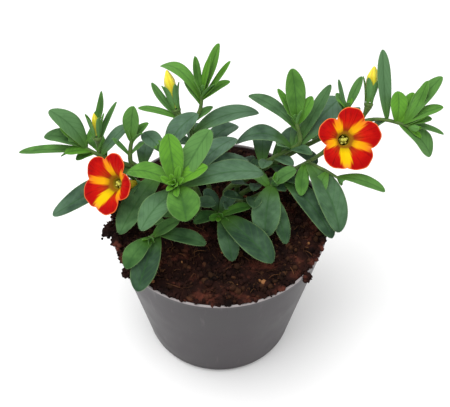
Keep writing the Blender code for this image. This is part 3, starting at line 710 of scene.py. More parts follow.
# A leaf is (place on the stem, x, y and z of its tip, width, bow, age).
# A place on a stem counts its route's points: 2.5 is halfway from the third to the fourth.
# A tuft is (number of leaves, length of the longest, its width, spread in degrees).
# A calyx is (foot, point ahead, sepal length, sepal width, lean in degrees).
# Some small shaded leaves low on the inner stems are dressing, between those of the solid.
SHOOTS = {
    "stem_left": (
        stem(from_soil(-10, 13, (-24, 15, 95), (-45, 16, 102), (-57, 17, 107), (-65, 19, 111)),
             (1.4, 0.9),
             ((4.5, -97, 23, 103, 6.0, 0.05, 0.45), (4.7, -79, 27, 126, 11.0, 0.12, 0.6),
              (4.8, -75, 26, 118, 7.0, 0.10, 0.3), (4.9, -82, 20, 116, 9.5, 0.14, 0.55),
              (5.0, -54, 31, 134, 4.6, -0.12, 0.45), (4.1, -48, 32, 127, 3.2, 0.04, 0.5),
              (3.9, -43, 27, 117, 7.5, 0.10, 0.9), (4.4, -72, 13, 112, 6.5, 0.10, 0.3),
              (4.2, -68, 15, 106, 5.5, 0.10, 0.25), (2.8, -80, -2, 85, 13.0, -0.03, 0.95),
              (3.7, -66, 36, 101, 9.0, 0.14, 0.35), (2.2, -46, -17, 89, 12.5, 0.06, 0.6),
              (2.6, -36, 38, 96, 9.0, 0.14, 0.95)),
             tuft=(4, 12.0, 5.0, 41.0)),
        stem(((-57, 17, 107), (-57.3, 19.5, 110), (-57.4, 20.7, 113.5)), (0.8, 1.3),
             calyx=(*BUDS["left"][:2], 12.0, 3.0, 14.0)),
        stem(((-38, 16, 99), (-42, 15, 104), (-42, 18, 110), (-41, 20, 114)), (1.2, 0.9),
             ((2.7, -39, 24, 131, 8.5, 0.02, 0.45), (2.4, -33, 24, 121, 5.0, 0.10, 0.4),
              (1.5, -50, 19, 116, 3.0, 0.05, 0.5), (1.5, -35, 18, 114, 3.0, 0.05, 0.5)),
             tuft=(4, 9.0, 4.0, 30.0)),
        stem(((-22, 15, 94), (-32, 13, 93), (-38.7, 10.4, 93.4)), (0.8, 1.8),
             calyx=(*FLOWERS["left"], 8.0, 2.6, 26.0)),
    ),
    "stem_top": (
        stem(from_soil(-5, 18, (-12, 24, 104), (-13, 26, 116), (-9, 30, 124), (-8, 32, 131)),
             (1.3, 0.8),
             ((4.9, 0, 38, 155, 7.0, -0.03, 0.35), (4.9, -11, 37, 149, 4.0, 0.0, 0.4),
              (4.8, -4, 35, 150, 4.2, 0.0, 0.3), (4.7, 5, 36, 147, 4.5, 0.0, 0.3),
              (4.6, 5, 37, 135, 5.5, 0.10, 0.35), (4.6, -28, 50, 134, 7.5, 0.26, 0.4),
              (4.3, -16, 38, 135, 6.5, 0.10, 0.45), (3.3, -3, 32, 124, 4.5, 0.05, 0.5),
              (2.6, 19, 36, 117, 11.0, 0.14, 0.9), (2.2, -25, 25, 109, 7.5, 0.12, 1),
              (1.6, -14, 50, 98, 10.0, 0.16, 1), (1.8, 9, 46, 100, 10.0, 0.16, 1)),
             tuft=(4, 11.0, 4.0, 26.0)),
        stem(((-13, 26, 117), (-18, 29, 118.5), (-20.0, 31.5, 121.1)), (0.8, 1.9),
             ((1.4, -32, 41, 131, 4.5, -0.06, 0.5), (1.1, -39, 37, 119, 5.0, 0.08, 0.4)),
             calyx=(*BUDS["top"][:2], 13.0, 3.6, 12.0)),
    ),
    "stem_centre": (
        stem(from_soil(-10, 4, (-13, -4, 98), (-17, -10, 112), (-19, -14, 119)), (1.5, 1.1),
             ((3.9, -22, 1, 135, 10.5, 0.03, 0.3), (3.8, -4, 8, 131, 11.5, 0.05, 0.5),
              (3.8, -41, -2, 115, 11.0, 0.14, 0.35), (3.9, -5, -9, 125, 8.5, 0.05, 0.2),
              (3.8, -14, -29, 112, 14.5, 0.12, 0.4), (3.4, 20, 2, 110, 14.0, 0.12, 0.9),
              (3.0, 13, 14, 107, 12.0, 0.12, 0.95), (3.2, 8, 23, 112, 10.0, 0.12, 1),
              (2.9, -34, -29, 106, 12.0, 0.12, 0.75), (1.8, -2, -6, 97, 7.5, 0.10, 0.85)),
             tuft=(10, 9.5, 3.4, 46.0)),
    ),
    "stem_centre_back": (
        stem(from_soil(-9, 9, (-14, 11, 98), (-22, 13, 107), (-27, 15, 112)), (1.3, 0.9),
             ((3.6, -10, 27, 124, 11.5, 0.12, 1), (3.8, -36, 25, 114, 9.0, 0.06, 0.95)),
             tuft=(3, 7.0, 3.2, 30.0)),
    ),
    "stem_front_left": (
        stem(from_soil(-14, 0, (-20, -9, 91), (-27, -19, 94), (-31, -26, 96)), (1.3, 0.9),
             ((3.8, -41, -39, 92, 9.5, 0.10, 0.5), (3.2, -36, -46, 84.5, 12.0, 0.12, 0.85),
              (3.7, -18, -19, 101, 7.0, 0.08, 0.5), (3.3, -6, -27, 94, 8.5, 0.12, 0.6),
              (2.6, -39, -4, 86, 7.5, 0.05, 0.75), (1.8, -36, 0, 86, 9.0, 0.10, 0.6)),
             tuft=(4, 7.0, 4.0, 40.0)),
    ),
    "stem_front": (
        stem(from_soil(-1, 1, (1, -5, 89), (0, -9, 92)), (1.2, 0.9),
             ((2.4, 24, -32, 87, 14.0, 0.10, 0.85), (2.2, 6, -30, 85.5, 9.5, 0.08, 0.8),
              (2.6, 15, -5, 95, 6.0, 0.12, 0.35), (2.2, -12, -10, 89, 7.0, 0.10, 0.5),
              (1.5, -7, 6, 95, 7.0, 0.10, 0.95), (1.8, 8, 3, 96, 7.0, 0.10, 0.95)),
             tuft=(4, 6.5, 4.0, 60.0)),
    ),
    "stem_front_right": (
        stem(from_soil(6, 6, (14, 4, 90), (22, 5, 95), (26, 6, 99)), (1.2, 0.8),
             ((3.7, 21, -18, 88, 13.5, 0.12, 0.8), (3.1, 31, -20, 85.5, 8.0, 0.10, 0.75),
              (3.4, 13, 16, 100, 7.5, 0.10, 0.5), (2.8, 34, 8, 95, 6.5, 0.10, 0.4),
              (1.7, 20, -6, 90, 6.0, 0.10, 0.9), (1.8, 2, -2, 99, 7.0, 0.10, 0.8),
              (1.3, 3, -6, 94, 6.5, 0.10, 0.9), (2.2, 16, -9, 98, 7.5, 0.12, 0.75),
              (3.8, 36, 8, 106, 9.0, 0.06, 0.5)),
             tuft=(4, 8.0, 4.0, 45.0)),
    ),
    "stem_right_low": (
        stem(from_soil(9, 11, (18, 12, 91), (31, 13, 98), (43, 14, 106)), (1.4, 1.0),
             ((2.3, 31, 2, 98, 5.5, 0.10, 0.8), (2.7, 38, 5, 100, 6.0, 0.10, 0.75),
              (2.1, 16, 3, 97, 6.0, 0.08, 0.9), (1.7, 6, 4, 101, 7.5, 0.12, 0.95),
              (2.9, 53, -16, 85, 12.0, 0.14, 0.85), (3.9, 56, -15, 88, 14.0, 0.14, 0.8),
              (3.8, 38, -2, 99, 6.5, 0.08, 0.4))),
        stem(((42, 14, 105), (49, 20, 105), (56.3, 23.5, 109.6)), (0.9, 1.8),
             calyx=(*FLOWERS["right"], 8.0, 2.6, 26.0)),
        stem(((42, 14, 105), (49, 8, 106), (56, 3, 105)), (0.9, 0.6),
             ((1.8, 76, -4, 104, 7.5, 0.08, 0.45), (1.2, 46, -1, 98, 7.0, 0.12, 0.45)),
             tuft=(3, 5.0, 2.6, 35.0)),
    ),
    "stem_right_back": (
        stem(from_soil(3, 15, (18, 20, 95), (31, 21, 105), (38, 20, 112), (36, 24, 121)),
             (1.4, 0.9),
             ((4.9, 33, 36, 143, 9.5, 0.0, 0.4), (4.8, 27, 34, 133, 4.6, 0.0, 0.35),
              (4.9, 43, 31, 131, 6.0, 0.0, 0.35), (4.6, 14, 39, 125, 8.5, 0.12, 0.7),
              (1.6, 0, 10, 100, 8.0, 0.10, 0.95), (2.4, 20, 9, 106, 6.5, 0.10, 0.85),
              (2.6, 35, 12, 105, 6.0, 0.10, 0.9), (3.1, 43, 12, 112, 6.5, 0.12, 0.8),
              (3.2, 27, 14, 116, 5.5, 0.05, 0.7), (3.7, 60, 47, 117, 15.0, 0.10, 1),
              (3.6, 52, 37, 133, 6.5, 0.0, 0.6), (3.4, 45, 38, 117, 8.5, 0.06, 0.9),
              (3.4, 8, 25, 107, 10.5, 0.26, 0.95), (2.3, 15, 19, 96, 7.0, 0.05, 0.8),
              (2.8, 27, 25, 114, 3.0, 0.05, 0.5), (2.2, 24, 48, 96, 11.0, 0.16, 0.95),
              (2.6, 44, 44, 99, 10.0, 0.14, 0.95), (2.0, 12, 30, 92, 7.0, 0.12, 0.9)),
             tuft=(4, 9.0, 3.6, 22.0)),
    ),
    "stem_right": (
        stem(from_soil(9, 19, (30, 28, 93), (50, 30, 106), (67, 28, 118), (77, 25, 122),
                       (87, 18, 124)),
             (1.4, 0.8),
             ((5.9, 93, 27, 143, 5.0, -0.04, 0.4), (5.8, 100, 30, 143, 8.0, 0.05, 0.45),
              (5.6, 89, 30, 134, 6.0, 0.05, 0.3), (5.7, 101, 21, 133, 7.0, 0.08, 0.4),
              (5.9, 97, 20, 127, 6.0, 0.08, 0.4), (5.5, 103, 16, 121, 4.5, 0.06, 0.5),
              (5.6, 98, 11, 112, 12.5, 0.12, 0.5), (5.5, 82, 31, 134, 8.0, 0.12, 0.3),
              (5.1, 74, 42, 149, 6.6, 0.04, 0.7), (5.1, 73, 26, 111, 8.0, 0.12, 0.95),
              (3.7, 66, 50, 108, 9.0, 0.12, 0.9), (2.4, 47, 17, 101, 7.0, 0.12, 0.9),
              (1.8, 35, 13, 91, 6.5, 0.12, 0.95), (2.8, 56, 44, 92, 9.0, 0.12, 0.9)),
             tuft=(4, 10.0, 4.0, 34.0)),
        stem(((67, 28, 118), (68.5, 29.5, 121.5), (69.8, 30.9, 125.1)), (0.8, 1.9),
             calyx=(*BUDS["right"][:2], 13.0, 3.6, 12.0)),
        stem(((58, 29, 112), (60, 30, 118), (60, 31, 124)), (0.8, 0.7),
             ((1.8, 66, 38, 137, 4.6, 0.0, 0.5), (1.7, 56, 41, 133, 2.4, 0.0, 0.6),
              (1.6, 55, 37, 128, 4.4, 0.06, 0.5)),
             tuft=(3, 8.0, 3.4, 30.0)),
    ),
}
print("leaves:", sum(len(one["leaves"]) for stems in SHOOTS.values() for one in stems))

# %% [markdown]
# ## The blade of a leaf
#
# These leaves are long and blunt, narrow at the foot and widest beyond the middle. Two
# parameters place every point: u runs from foot to tip and s from one margin to the other.
# The half width follows a sine with a power on u, which pushes the widest place outwards. On
# top of that come what makes a flat shape a leaf: the fold along the midrib, the bow, a slow
# wave of the margin, and the puckering between the side veins.

# %% Lines of a leaf
WIDEST = 1.35
FULLNESS = 0.52
STALK = 0.17
NARROWEST = 0.03


def route_points(route, places):
    """Points on the stem's smooth curve: the first span straight, the rest Catmull-Rom."""
    guides = np.asarray(route, float)
    guides = np.vstack((2 * guides[0] - guides[1], guides, 2 * guides[-1] - guides[-2]))
    index = np.minimum(np.asarray(places, int), len(route) - 2)
    t = (np.asarray(places, float) - index)[:, None]
    a, b, c, d = (guides[index + shift] for shift in range(4))
    smooth = 0.5 * (2 * b + (c - a) * t + (2 * a - 5 * b + 4 * c - d) * t ** 2
                    + (3 * b - a - 3 * c + d) * t ** 3)
    return np.where(index[:, None] == 0, b + (c - b) * t, smooth)


def half_width(u, width):
    """Half width along a leaf: a narrow foot, widest beyond the middle, and a blunt tip."""
    swell = np.maximum(np.sin(math.pi * np.minimum(u, 1.0) ** WIDEST), 0.0)
    outline = STALK * (1 - u) + (1 - STALK * (1 - u)) * swell ** FULLNESS
    return np.maximum(NARROWEST, 0.5 * width * outline)


def perpendicular(axis):
    """A unit vector square to an axis: its smallest number becomes 0, the others swap."""
    x, y, z = axis
    size = np.abs(axis)
    swap = 0 if size[0] < min(size[1], size[2]) else 1 if size[1] < size[2] else 2
    return unit(np.array(((0.0, -z, y), (-z, 0.0, x), (-y, x, 0.0))[swap]))


def turned_about(vector, axis, angle):
    """A vector turned round an axis that is square to it."""
    return vector * math.cos(angle) + np.cross(axis, vector) * math.sin(angle)


widest = np.argmax(half_width(np.linspace(0, 1, 101), 10.0))
print("a leaf is widest at", widest, "percent of its length")

# %% [markdown]
# The hairs of a margin are what makes these leaves look soft against the light. Each is a
# spike with four sides, made for a whole leaf at once: a random place along the margin, a
# direction outwards and a little ahead, and five points.

# %% Hairs of a margin
HAIR_LENGTH = (0.3, 0.95)
HAIR_WIDTH = 0.024
HAIR_ROOT = 0.1
HAIR_LEAN = 0.45
HAIR_SPREAD = 0.3
TIP_ROWS = 4
HAIR_SIDES = np.array([[0, 1, 4], [1, 2, 4], [2, 3, 4], [3, 0, 4]])
HAIR_FOOT = np.array([[3, 2, 1, 0]])


def add_hairs(parts, middle, out, count, draw, age, tone):
    """Adds pale hairs round a blade's margin, with a few more of them round its tip."""
    rows, columns, _ = middle.shape
    last = rows - 1.01
    row = np.concatenate((draw.uniform(1, last, count),
                          draw.uniform(rows - TIP_ROWS, last, count // 12)))
    right = (draw.uniform(0, 1, len(row)) < 0.5)[:, None]
    low = row.astype(int)
    share = (row - low)[:, None]
    left_edge, right_edge = (middle[low, side] * (1 - share) + middle[low + 1, side] * share
                             for side in (0, -1))
    edge = np.where(right, right_edge, left_edge)
    centre = middle[low, columns // 2]
    outward = unit(edge - centre + 1e-6)
    ahead = unit(middle[np.minimum(low + 1, rows - 1), columns // 2] - centre + 1e-6)
    way = unit(outward + HAIR_LEAN * ahead + draw.normal(0, HAIR_SPREAD, edge.shape))
    length = draw.uniform(*HAIR_LENGTH, (len(row), 1))
    side = unit(np.cross(way, out))
    other = np.cross(way, side)
    foot = edge - HAIR_ROOT * outward
    corners = np.stack((foot + side * HAIR_WIDTH, foot + other * HAIR_WIDTH,
                        foot - side * HAIR_WIDTH, foot - other * HAIR_WIDTH,
                        foot + way * length), axis=1)
    index = np.arange(len(row))[:, None] * 5
    triangles = (index[:, None] + HAIR_SIDES).reshape(-1, 3)
    parts.add(corners.reshape(-1, 3), index + HAIR_FOOT, triangles.tolist(), along=0.5,
              aside=1.0, under=0.0, age=age, tone=tone, hair=1.0)


print("faces of a hair:", len(HAIR_SIDES) + len(HAIR_FOOT))

# %% [markdown]
# Now the blade itself. The side veins that pucker it are counted by one formula, which the
# leaf's colour uses again further down, so that the veins and the puckers agree.

# %% The blade
FOLD = 0.22
BLADE = 0.42
LEAF_ROWS, LEAF_COLUMNS = 26, 13
VEINS_ALONG, VEINS_SLANT = 7.0, 2.2
SWAY, WAVE, PUCKER, GROOVE = 0.03, 0.05, 0.06, -0.16
# Painted shade: leaves below this height above the rim get a darker green.
FULL_LIGHT = 36.0  # height above the rim at which a leaf gets its lightest tone


def add_leaf(parts, base, tip, width, arch, age, facing=(0, 0, 1), rows=LEAF_ROWS,
             columns=LEAF_COLUMNS, hairs=0):
    """Adds one closed blade, and the fine hairs of its margin.

    The middle surface is base + u L along + s w(u) across + h(u, s) out. Here w is the half
    width, and h sums the bow 4 a L u (1 - u), the fold w |s|, and small waves and puckers.
    The upper and the lower grid stand half a thickness off it, thinner towards the margin.
    A leaf's tone is part random, part painted shade: the lower it grows, the darker its green.
    """
    base, tip = np.asarray(base, float), np.asarray(tip, float)
    length = np.linalg.norm(tip - base)
    along = (tip - base) / length
    across = unit(np.cross(along, facing))
    out = np.cross(across, along)
    draw = random_for("leaf", parts.count, round(width * 10))
    phase, twist = draw.uniform(0, math.tau), draw.uniform(-0.25, 0.25)
    u = (1 - (1 - np.linspace(0, 1, rows)) ** 1.5)[:, None]
    s = np.linspace(-1, 1, columns)[None]
    half = half_width(u, width)
    sway = SWAY * length * np.sin(math.pi * u) * math.sin(phase)
    wave = WAVE * half * np.sin(9 * u + phase + s) * s ** 2 + twist * half * s * u * (1 - u)
    vein = np.abs(s) * VEINS_SLANT + u * VEINS_ALONG
    pucker = PUCKER * np.cos(math.tau * vein) * (1 - s ** 4) * np.sin(math.pi * u)
    groove = GROOVE * np.exp(-(s / 0.16) ** 2) * np.minimum(1, half / 2)
    rise = 4 * arch * length * u * (1 - u) + FOLD * half * np.sqrt(s ** 2 + 0.02) + wave
    middle = (base + along * (length * u)[..., None] + across * (half * s + sway)[..., None]
              + out * rise[..., None])
    relief = (groove + pucker * np.minimum(1, half / 3))[..., None] * out
    thick = (0.5 * BLADE * np.sqrt(np.maximum(1 - s ** 4, 0.04)) + 0 * u)[..., None] * out
    points, quads = closed_sheet(middle + relief + thick, middle + relief - thick)
    flat_u, flat_s = (np.broadcast_to(grid, (rows, columns)).ravel() for grid in (u, s))
    height = 0.5 * (base[2] + tip[2]) - RIM_HEIGHT
    # Tone: a random part plus painted shade that darkens a leaf the lower it grows.
    tone = 0.6 * min(max(height / FULL_LIGHT, 0.0), 1.0) + 0.4 * draw.uniform(0, 1)
    parts.add(points, quads, along=np.tile(flat_u, 2), aside=np.tile(flat_s, 2),
              under=np.repeat([0.0, 1.0], rows * columns), age=age, tone=tone, hair=0.0)
    if hairs:
        add_hairs(parts, middle, out, hairs, draw, age, tone)


print("points of a blade:", 2 * LEAF_ROWS * LEAF_COLUMNS)

# %% [markdown]
# ## Leaf green
#
# A leaf's colour isn't one green. Young leaves are a warm yellow-green and old ones a dull
# blue-grey green, the side veins and the midrib are a little darker, the underside is greyer
# and the margin paler. The stored values carry the leaf's own place along and across, so the
# veins stay where they belong however the leaf is bent.

# %% Leaf and stem finish
def leaf_finish():
    """Green by age and painted shade, with a dark midrib, faint side veins, a pale margin and pale
    hairs.
    """
    recipe = Recipe("hairy_leaf", 0.6, Specular_IOR_Level=0.09)
    age, tone, along, aside, under, hair = recipe.attributes("age", "tone", "along", "aside",
                                                             "under", "hair")
    green = recipe.ramp(age, (0.0, srgb(90, 144, 30)), (0.3, srgb(86, 138, 42)),
                        (0.6, srgb(78, 114, 70)), (1.0, srgb(82, 110, 88)))
    dark = recipe.ramp(age, (0.0, srgb(52, 100, 18)), (0.3, srgb(44, 86, 26)),
                       (0.6, srgb(34, 60, 34)), (1.0, srgb(38, 59, 46)))
    cloud = recipe.noise(160.0, 4.0)
    # Soft random patches, plus painted shade from the tone, choose between the dark and the light
    # green.
    patch = recipe.math("ADD", recipe.times(cloud, 0.7), recipe.times(tone, 0.5))
    blade = recipe.mix(recipe.steps(patch, 0.35, 0.85), dark, green)
    width = recipe.math("ABSOLUTE", aside)
    vein = recipe.math("ADD", recipe.times(width, VEINS_SLANT), recipe.times(along, VEINS_ALONG))
    beat = recipe.math("COSINE", recipe.times(vein, math.tau))
    side_vein = recipe.times(recipe.steps(beat, -0.6, -1.0), 0.28)
    veined = recipe.mix(side_vein, blade, srgb(52, 88, 44))
    midrib = recipe.steps(width, 0.11, 0.03)
    ribbed = recipe.mix(recipe.times(midrib, 0.45), veined, srgb(42, 78, 36))
    edge = recipe.times(recipe.steps(width, 0.90, 1.0), 0.35)
    margin = recipe.mix(edge, ribbed, srgb(132, 164, 100))
    back = recipe.mix(recipe.times(under, 0.45), margin, srgb(92, 128, 90))
    foot = recipe.mix(recipe.times(recipe.steps(along, 0.45, 0.0), 0.7), back, srgb(66, 108, 22))
    colour = recipe.mix(hair, foot, srgb(140, 166, 112))
    relief = recipe.math("ADD", recipe.noise(1500.0, 3.0), recipe.times(midrib, -1.5))
    return recipe.finish(colour, relief, 0.35, 0.0002)


def stem_finish():
    """A green stem with a downy skin and paler streaks."""
    recipe = Recipe("downy_stem", 0.6, Specular_IOR_Level=0.3, Sheen_Weight=0.1)
    streak = recipe.noise(300.0, 3.0)
    green = recipe.ramp(streak, (0.3, srgb(54, 82, 30)), (0.7, srgb(84, 110, 46)))
    return recipe.finish(green, streak, 0.3, 0.0003)


leaf_material, stem_material = leaf_finish(), stem_finish()
print("nodes of the leaf's recipe:", len(leaf_material.node_tree.nodes))

# %% [markdown]
# ## Growing a shoot
#
# Every shoot now grows in the order in which the plant does it: the stem as a tapered tube,
# the leaves along it, a tuft of young leaves at its end, and the five sepals where it
# carries a flower or a bud. The tuft turns by the golden angle from leaf to leaf, which is
# how real shoots keep each new leaf out of the shade of the last one.

# %% Stem, tuft and calyx
GOLDEN_ANGLE = math.radians(137.5)
YOUNG_ROWS, YOUNG_COLUMNS = 16, 9
SEPALS = 5
KNOB = ((-3.0, 1.2), (-1.5, 1.9), (-0.6, 2.3), (0.0, 2.0))  # place on the axis, and radius
KNOB_DROP = 0.65


def direction(foot, ahead):
    """The unit vector from one point to another."""
    return unit(np.asarray(ahead, float) - np.asarray(foot, float))


def add_tuft(parts, end, axis, tuft):
    """Young leaves on a spiral round a stem's end, the outer ones longer and more open."""
    count, longest, widest, spread = tuft
    first = perpendicular(axis)
    for index in range(count):
        share = (index + 1) / count
        side = turned_about(first, axis, GOLDEN_ANGLE * index)
        lean = math.radians(8.0 + spread * share)
        heading = axis * math.cos(lean) + side * math.sin(lean)
        base = end - axis * (0.6 + 1.2 * share)
        add_leaf(parts, base, base + heading * longest * (0.5 + 0.5 * share),
                 widest * (0.55 + 0.45 * share), 0.05, 0.25 * share, axis, YOUNG_ROWS,
                 YOUNG_COLUMNS, 16)


def add_calyx(parts, foot, ahead, length, width, lean):
    """Five sepals round the foot of a flower or a bud."""
    axis = direction(foot, ahead)
    first = perpendicular(axis)
    lean = math.radians(lean)
    for index in range(SEPALS):
        side = turned_about(first, axis, math.tau * (index + 0.5) / SEPALS)
        base = np.asarray(foot, float) - axis * 1.4 + side * 1.8
        tip = base + (axis * math.cos(lean) + side * math.sin(lean)) * length
        add_leaf(parts, base, tip, width, 0.04, 0.35, axis, YOUNG_ROWS, YOUNG_COLUMNS, 22)


def add_stem(wood, spec):
    """The stem's tube, tapered from foot to end, and a little knob where it carries a flower."""
    route, (at_foot, at_end) = spec["route"], spec["radius"]
    places = np.concatenate(([0.0], np.linspace(1.0, len(route) - 1.0, 6 * (len(route) - 2) + 1)))
    path = route_points(route, places)
    wood.add(*tube(path, at_foot + (at_end - at_foot) * np.linspace(0, 1, len(path)), 12))
    if spec["calyx"]:
        foot, ahead = spec["calyx"][:2]
        axis = direction(foot, ahead)
        place, radius = np.array(KNOB).T
        knob = np.asarray(foot, float) + axis * (place - KNOB_DROP)[:, None]
        wood.add(*tube(knob, radius, 14))
    return path


print("turn from one young leaf to the next:", round(math.degrees(GOLDEN_ANGLE), 1), "degrees")

# %% [markdown]
# The table of shoots is now read from top to bottom, one piece of blades and one of stems
# for each shoot.

# %% Grow every shoot
HAIRS_PER_MM = 3.4

for name, stems in SHOOTS.items():
    blades = Parts("along", "aside", "under", "age", "tone", "hair")
    wood = Parts()
    for spec in stems:
        path = add_stem(wood, spec)
        for place, *tip, width, arch, age in spec["leaves"]:
            base = route_points(spec["route"], [place])[0]
            length = float(np.linalg.norm(np.asarray(tip, float) - base))
            add_leaf(blades, base, tip, width, arch, age, hairs=round(HAIRS_PER_MM * length))
        if spec["tuft"]:
            add_tuft(blades, path[-1], unit(path[-1] - path[-2]), spec["tuft"])
        if spec["calyx"]:
            add_calyx(blades, *spec["calyx"])
    blades.build(name + "_leaves", leaf_material, name, "leaf")
    wood.build(name + "_stem", stem_material, slot="leaf")
    print(name, blades.count + wood.count, "points")

# %% [markdown]
# ## The open flowers
#
# A calibrachoa flower is one funnel, grown together from five petals. Along the angle, the
# outline swings between five round lobes and five notches; from the throat outwards, the
# surface rises a little and rolls back at its edge. So the flower is again a surface of two
# parameters. Its two skins, the face and the back, are joined at the edge as one closed body.

# %% Flower surface
LOBES = 5
TUBE_LENGTH = 14.0
TUBE_FOOT = 1.4
THROAT = 2.8
FLOWER_RADIUS = 14.8
LOBE_CENTRE = 0.57
ROLL = 0.9
PLEAT = 0.9
RIB = 0.09


def lobe_place(angle, turn):
    """Place across the nearest lobe, in lobes: 0 in its middle, half a lobe at its notches."""
    return ((angle - math.radians(turn)) * LOBES / math.tau + 0.5) % 1.0 - 0.5


def near_front(angle):
    """1 round the front notch, whose ray is the widest, and 0 elsewhere."""
    return np.clip((-np.sin(angle) - 0.80) / 0.06, 0, 1)


def funnel(share, angle, form):
    """Points of the corolla in its own axes; share is -1 at its foot, 0 at the throat, 1 outside.

    The tube widens with share to the power 1.5. Beyond the throat the radius runs evenly to
    the outline of five overlapping circles, d cos p + sqrt(r^2 - (d sin p)^2), where p is the
    angle from the middle of a lobe. The height adds a cup, a reflexed edge, a pleat along
    each lobe, and fine ribs along the veins. Then the face leans aside.
    """
    turn, cup, (aside, backwards) = form
    below, face = np.clip(share + 1, 0, 1), np.clip(share, 0, 1)
    tube_radius = TUBE_FOOT + (THROAT - TUBE_FOOT) * below ** 1.5
    off = lobe_place(angle, turn) * math.tau / LOBES
    round_lobe = np.sqrt((1 - LOBE_CENTRE) ** 2 - (LOBE_CENTRE * np.sin(off)) ** 2)
    outline = LOBE_CENTRE * np.cos(off) + round_lobe
    outline = FLOWER_RADIUS * (outline + 0.5 * near_front(angle) * (1 - outline))
    outline = outline * (1 + 0.008 * np.sin(11 * angle + 1) + 0.006 * np.sin(17 * angle))
    radius = np.where(share < 0, tube_radius, THROAT + (outline - THROAT) * face)
    lobe = np.abs(np.cos(2.5 * (angle - math.radians(turn))))
    rise = cup * np.sin(0.5 * math.pi * face) - ROLL * face ** 3
    pleat = PLEAT * (lobe - 0.5) + RIB * np.cos(30 * angle) * lobe
    height = TUBE_LENGTH * below + rise + pleat * np.sin(math.pi * face)
    return around(radius, angle, height) + np.array([aside, backwards, 0.0]) * face[..., None]


print("face of a flower:", 2 * FLOWER_RADIUS, "mm wide, in", LOBES, "lobes")

# %% [markdown]
# The face is painted by place: the stored spread runs from the throat to the edge, and the
# stored ray is 1 in the yellow bands that run out to the notches. Its border is frayed by
# the veins, as if the red had bled into the yellow.

# %% Petal finish
def petal_finish():
    """Velvet lobes: red with darker veins, yellow rays to the notches, an olive throat, painted
    light deep in the tube and a painted highlight on the edge.
    """
    recipe = Recipe("velvet_petal", 0.6, Specular_IOR_Level=0.05)
    spread, ray, back, front, east, north = recipe.attributes("spread", "ray", "back", "front",
                                                              "east", "north")
    outwards = recipe.node("ShaderNodeCombineXYZ", {"X": east, "Y": north,
                                                    "Z": recipe.times(spread, 0.12)})
    veins = recipe.noise(16.0, 3.0, outwards)
    cloud = recipe.noise(260.0, 3.0)
    red = recipe.ramp(spread, (0.10, srgb(118, 46, 6)), (0.28, srgb(168, 44, 4)),
                      (0.48, srgb(176, 16, 3)), (0.78, srgb(158, 2, 1)))
    lined = recipe.mix(recipe.times(recipe.steps(veins, 0.52, 0.68), 0.65), red, srgb(112, 4, 1))
    mottled = recipe.mix(recipe.times(recipe.steps(cloud, 0.45, 0.8), 0.35), lined,
                         srgb(196, 26, 8))
    yellow = recipe.ramp(spread, (0.06, srgb(160, 116, 2)), (0.30, srgb(220, 156, 6)),
                         (0.70, srgb(222, 132, 12)), (1.0, srgb(216, 110, 40)))
    bright = recipe.ramp(spread, (0.06, srgb(166, 140, 0)), (0.35, srgb(218, 178, 0)),
                         (0.75, srgb(226, 170, 4)), (1.0, srgb(222, 130, 50)))
    rayed = recipe.mix(ray, mottled, recipe.mix(front, yellow, bright))
    throat = recipe.mix(recipe.steps(spread, 0.15, 0.05), rayed, srgb(130, 84, 12))
    # Deep in the tube: its own yellow-olive, made lighter as painted light against the tube's
    # shade.
    tube_yellow_and_light = recipe.mix(recipe.steps(spread, 0.02, -0.10), throat, srgb(150, 130, 30))
    # Painted highlight: a thin pale orange band along the outer edge of the face.
    edge_highlight = recipe.mix(recipe.steps(spread, 0.955, 0.985), tube_yellow_and_light, srgb(224, 112, 56))
    behind = recipe.ramp(spread, (0.0, srgb(170, 154, 36)), (0.3, srgb(196, 116, 30)),
                         (1.0, srgb(176, 52, 26)))
    return recipe.finish(recipe.mix(back, edge_highlight, behind), veins, 0.35, 0.0002)


def ray_strength(share, angle, turn):
    """1 in the yellow rays that run to the notches, 0 in the red lobes, soft in between.

    The distance to the nearest notch is counted in lobes. A ray narrows towards the edge,
    its border is frayed by the veins, and the ray of the front notch is the widest.
    """
    to_notch = 0.5 - np.abs(lobe_place(angle, turn))
    fray = 0.022 * np.sin(37 * angle) + 0.014 * np.sin(61 * angle + 3 * share)
    inwards = 1 - np.clip(share, 0, 1)
    width = -0.02 + 0.27 * inwards + near_front(angle) * (0.02 + 0.10 * inwards)
    edge = np.clip((to_notch - width + fray) / 0.12, 0, 1)
    return 1 - edge ** 2 * (3 - 2 * edge)


petal_material = petal_finish()
print("nodes of the petal's recipe:", len(petal_material.node_tree.nodes))

# %% [markdown]
# A flower is worked out in axes of its own, with its length along z. One product with three
# unit vectors then stands it on its stalk, and the same tool will place the eyes and buds.

# %% Open both flowers
PETAL = 0.5
TUBE_RINGS = 14
FACE_RINGS = 34
FLOWER_SEGMENTS = 240
# Turn of the lobes in degrees, rise of the cup, and how far the face leans aside and back
FLOWER_FORMS = {
    "left": (20.0, 5.0, (-2.4, -1.4)),
    "right": (12.0, 2.0, (2.2, 0.0)),
}


def stood(points, foot, ahead):
    """Points given in a piece's own axes, stood on foot with their z axis towards ahead."""
    axis = direction(foot, ahead)
    side = unit(np.cross([0.0, 0.0, 1.0], axis))
    return points @ np.stack((side, np.cross(axis, side), axis)) + np.asarray(foot, float)


def with_poles(values):
    """Values for every point of closed rings: the two poles repeat their ring's first one."""
    return np.concatenate((values.ravel(), [values[0, 0], values[-1, 0]]))


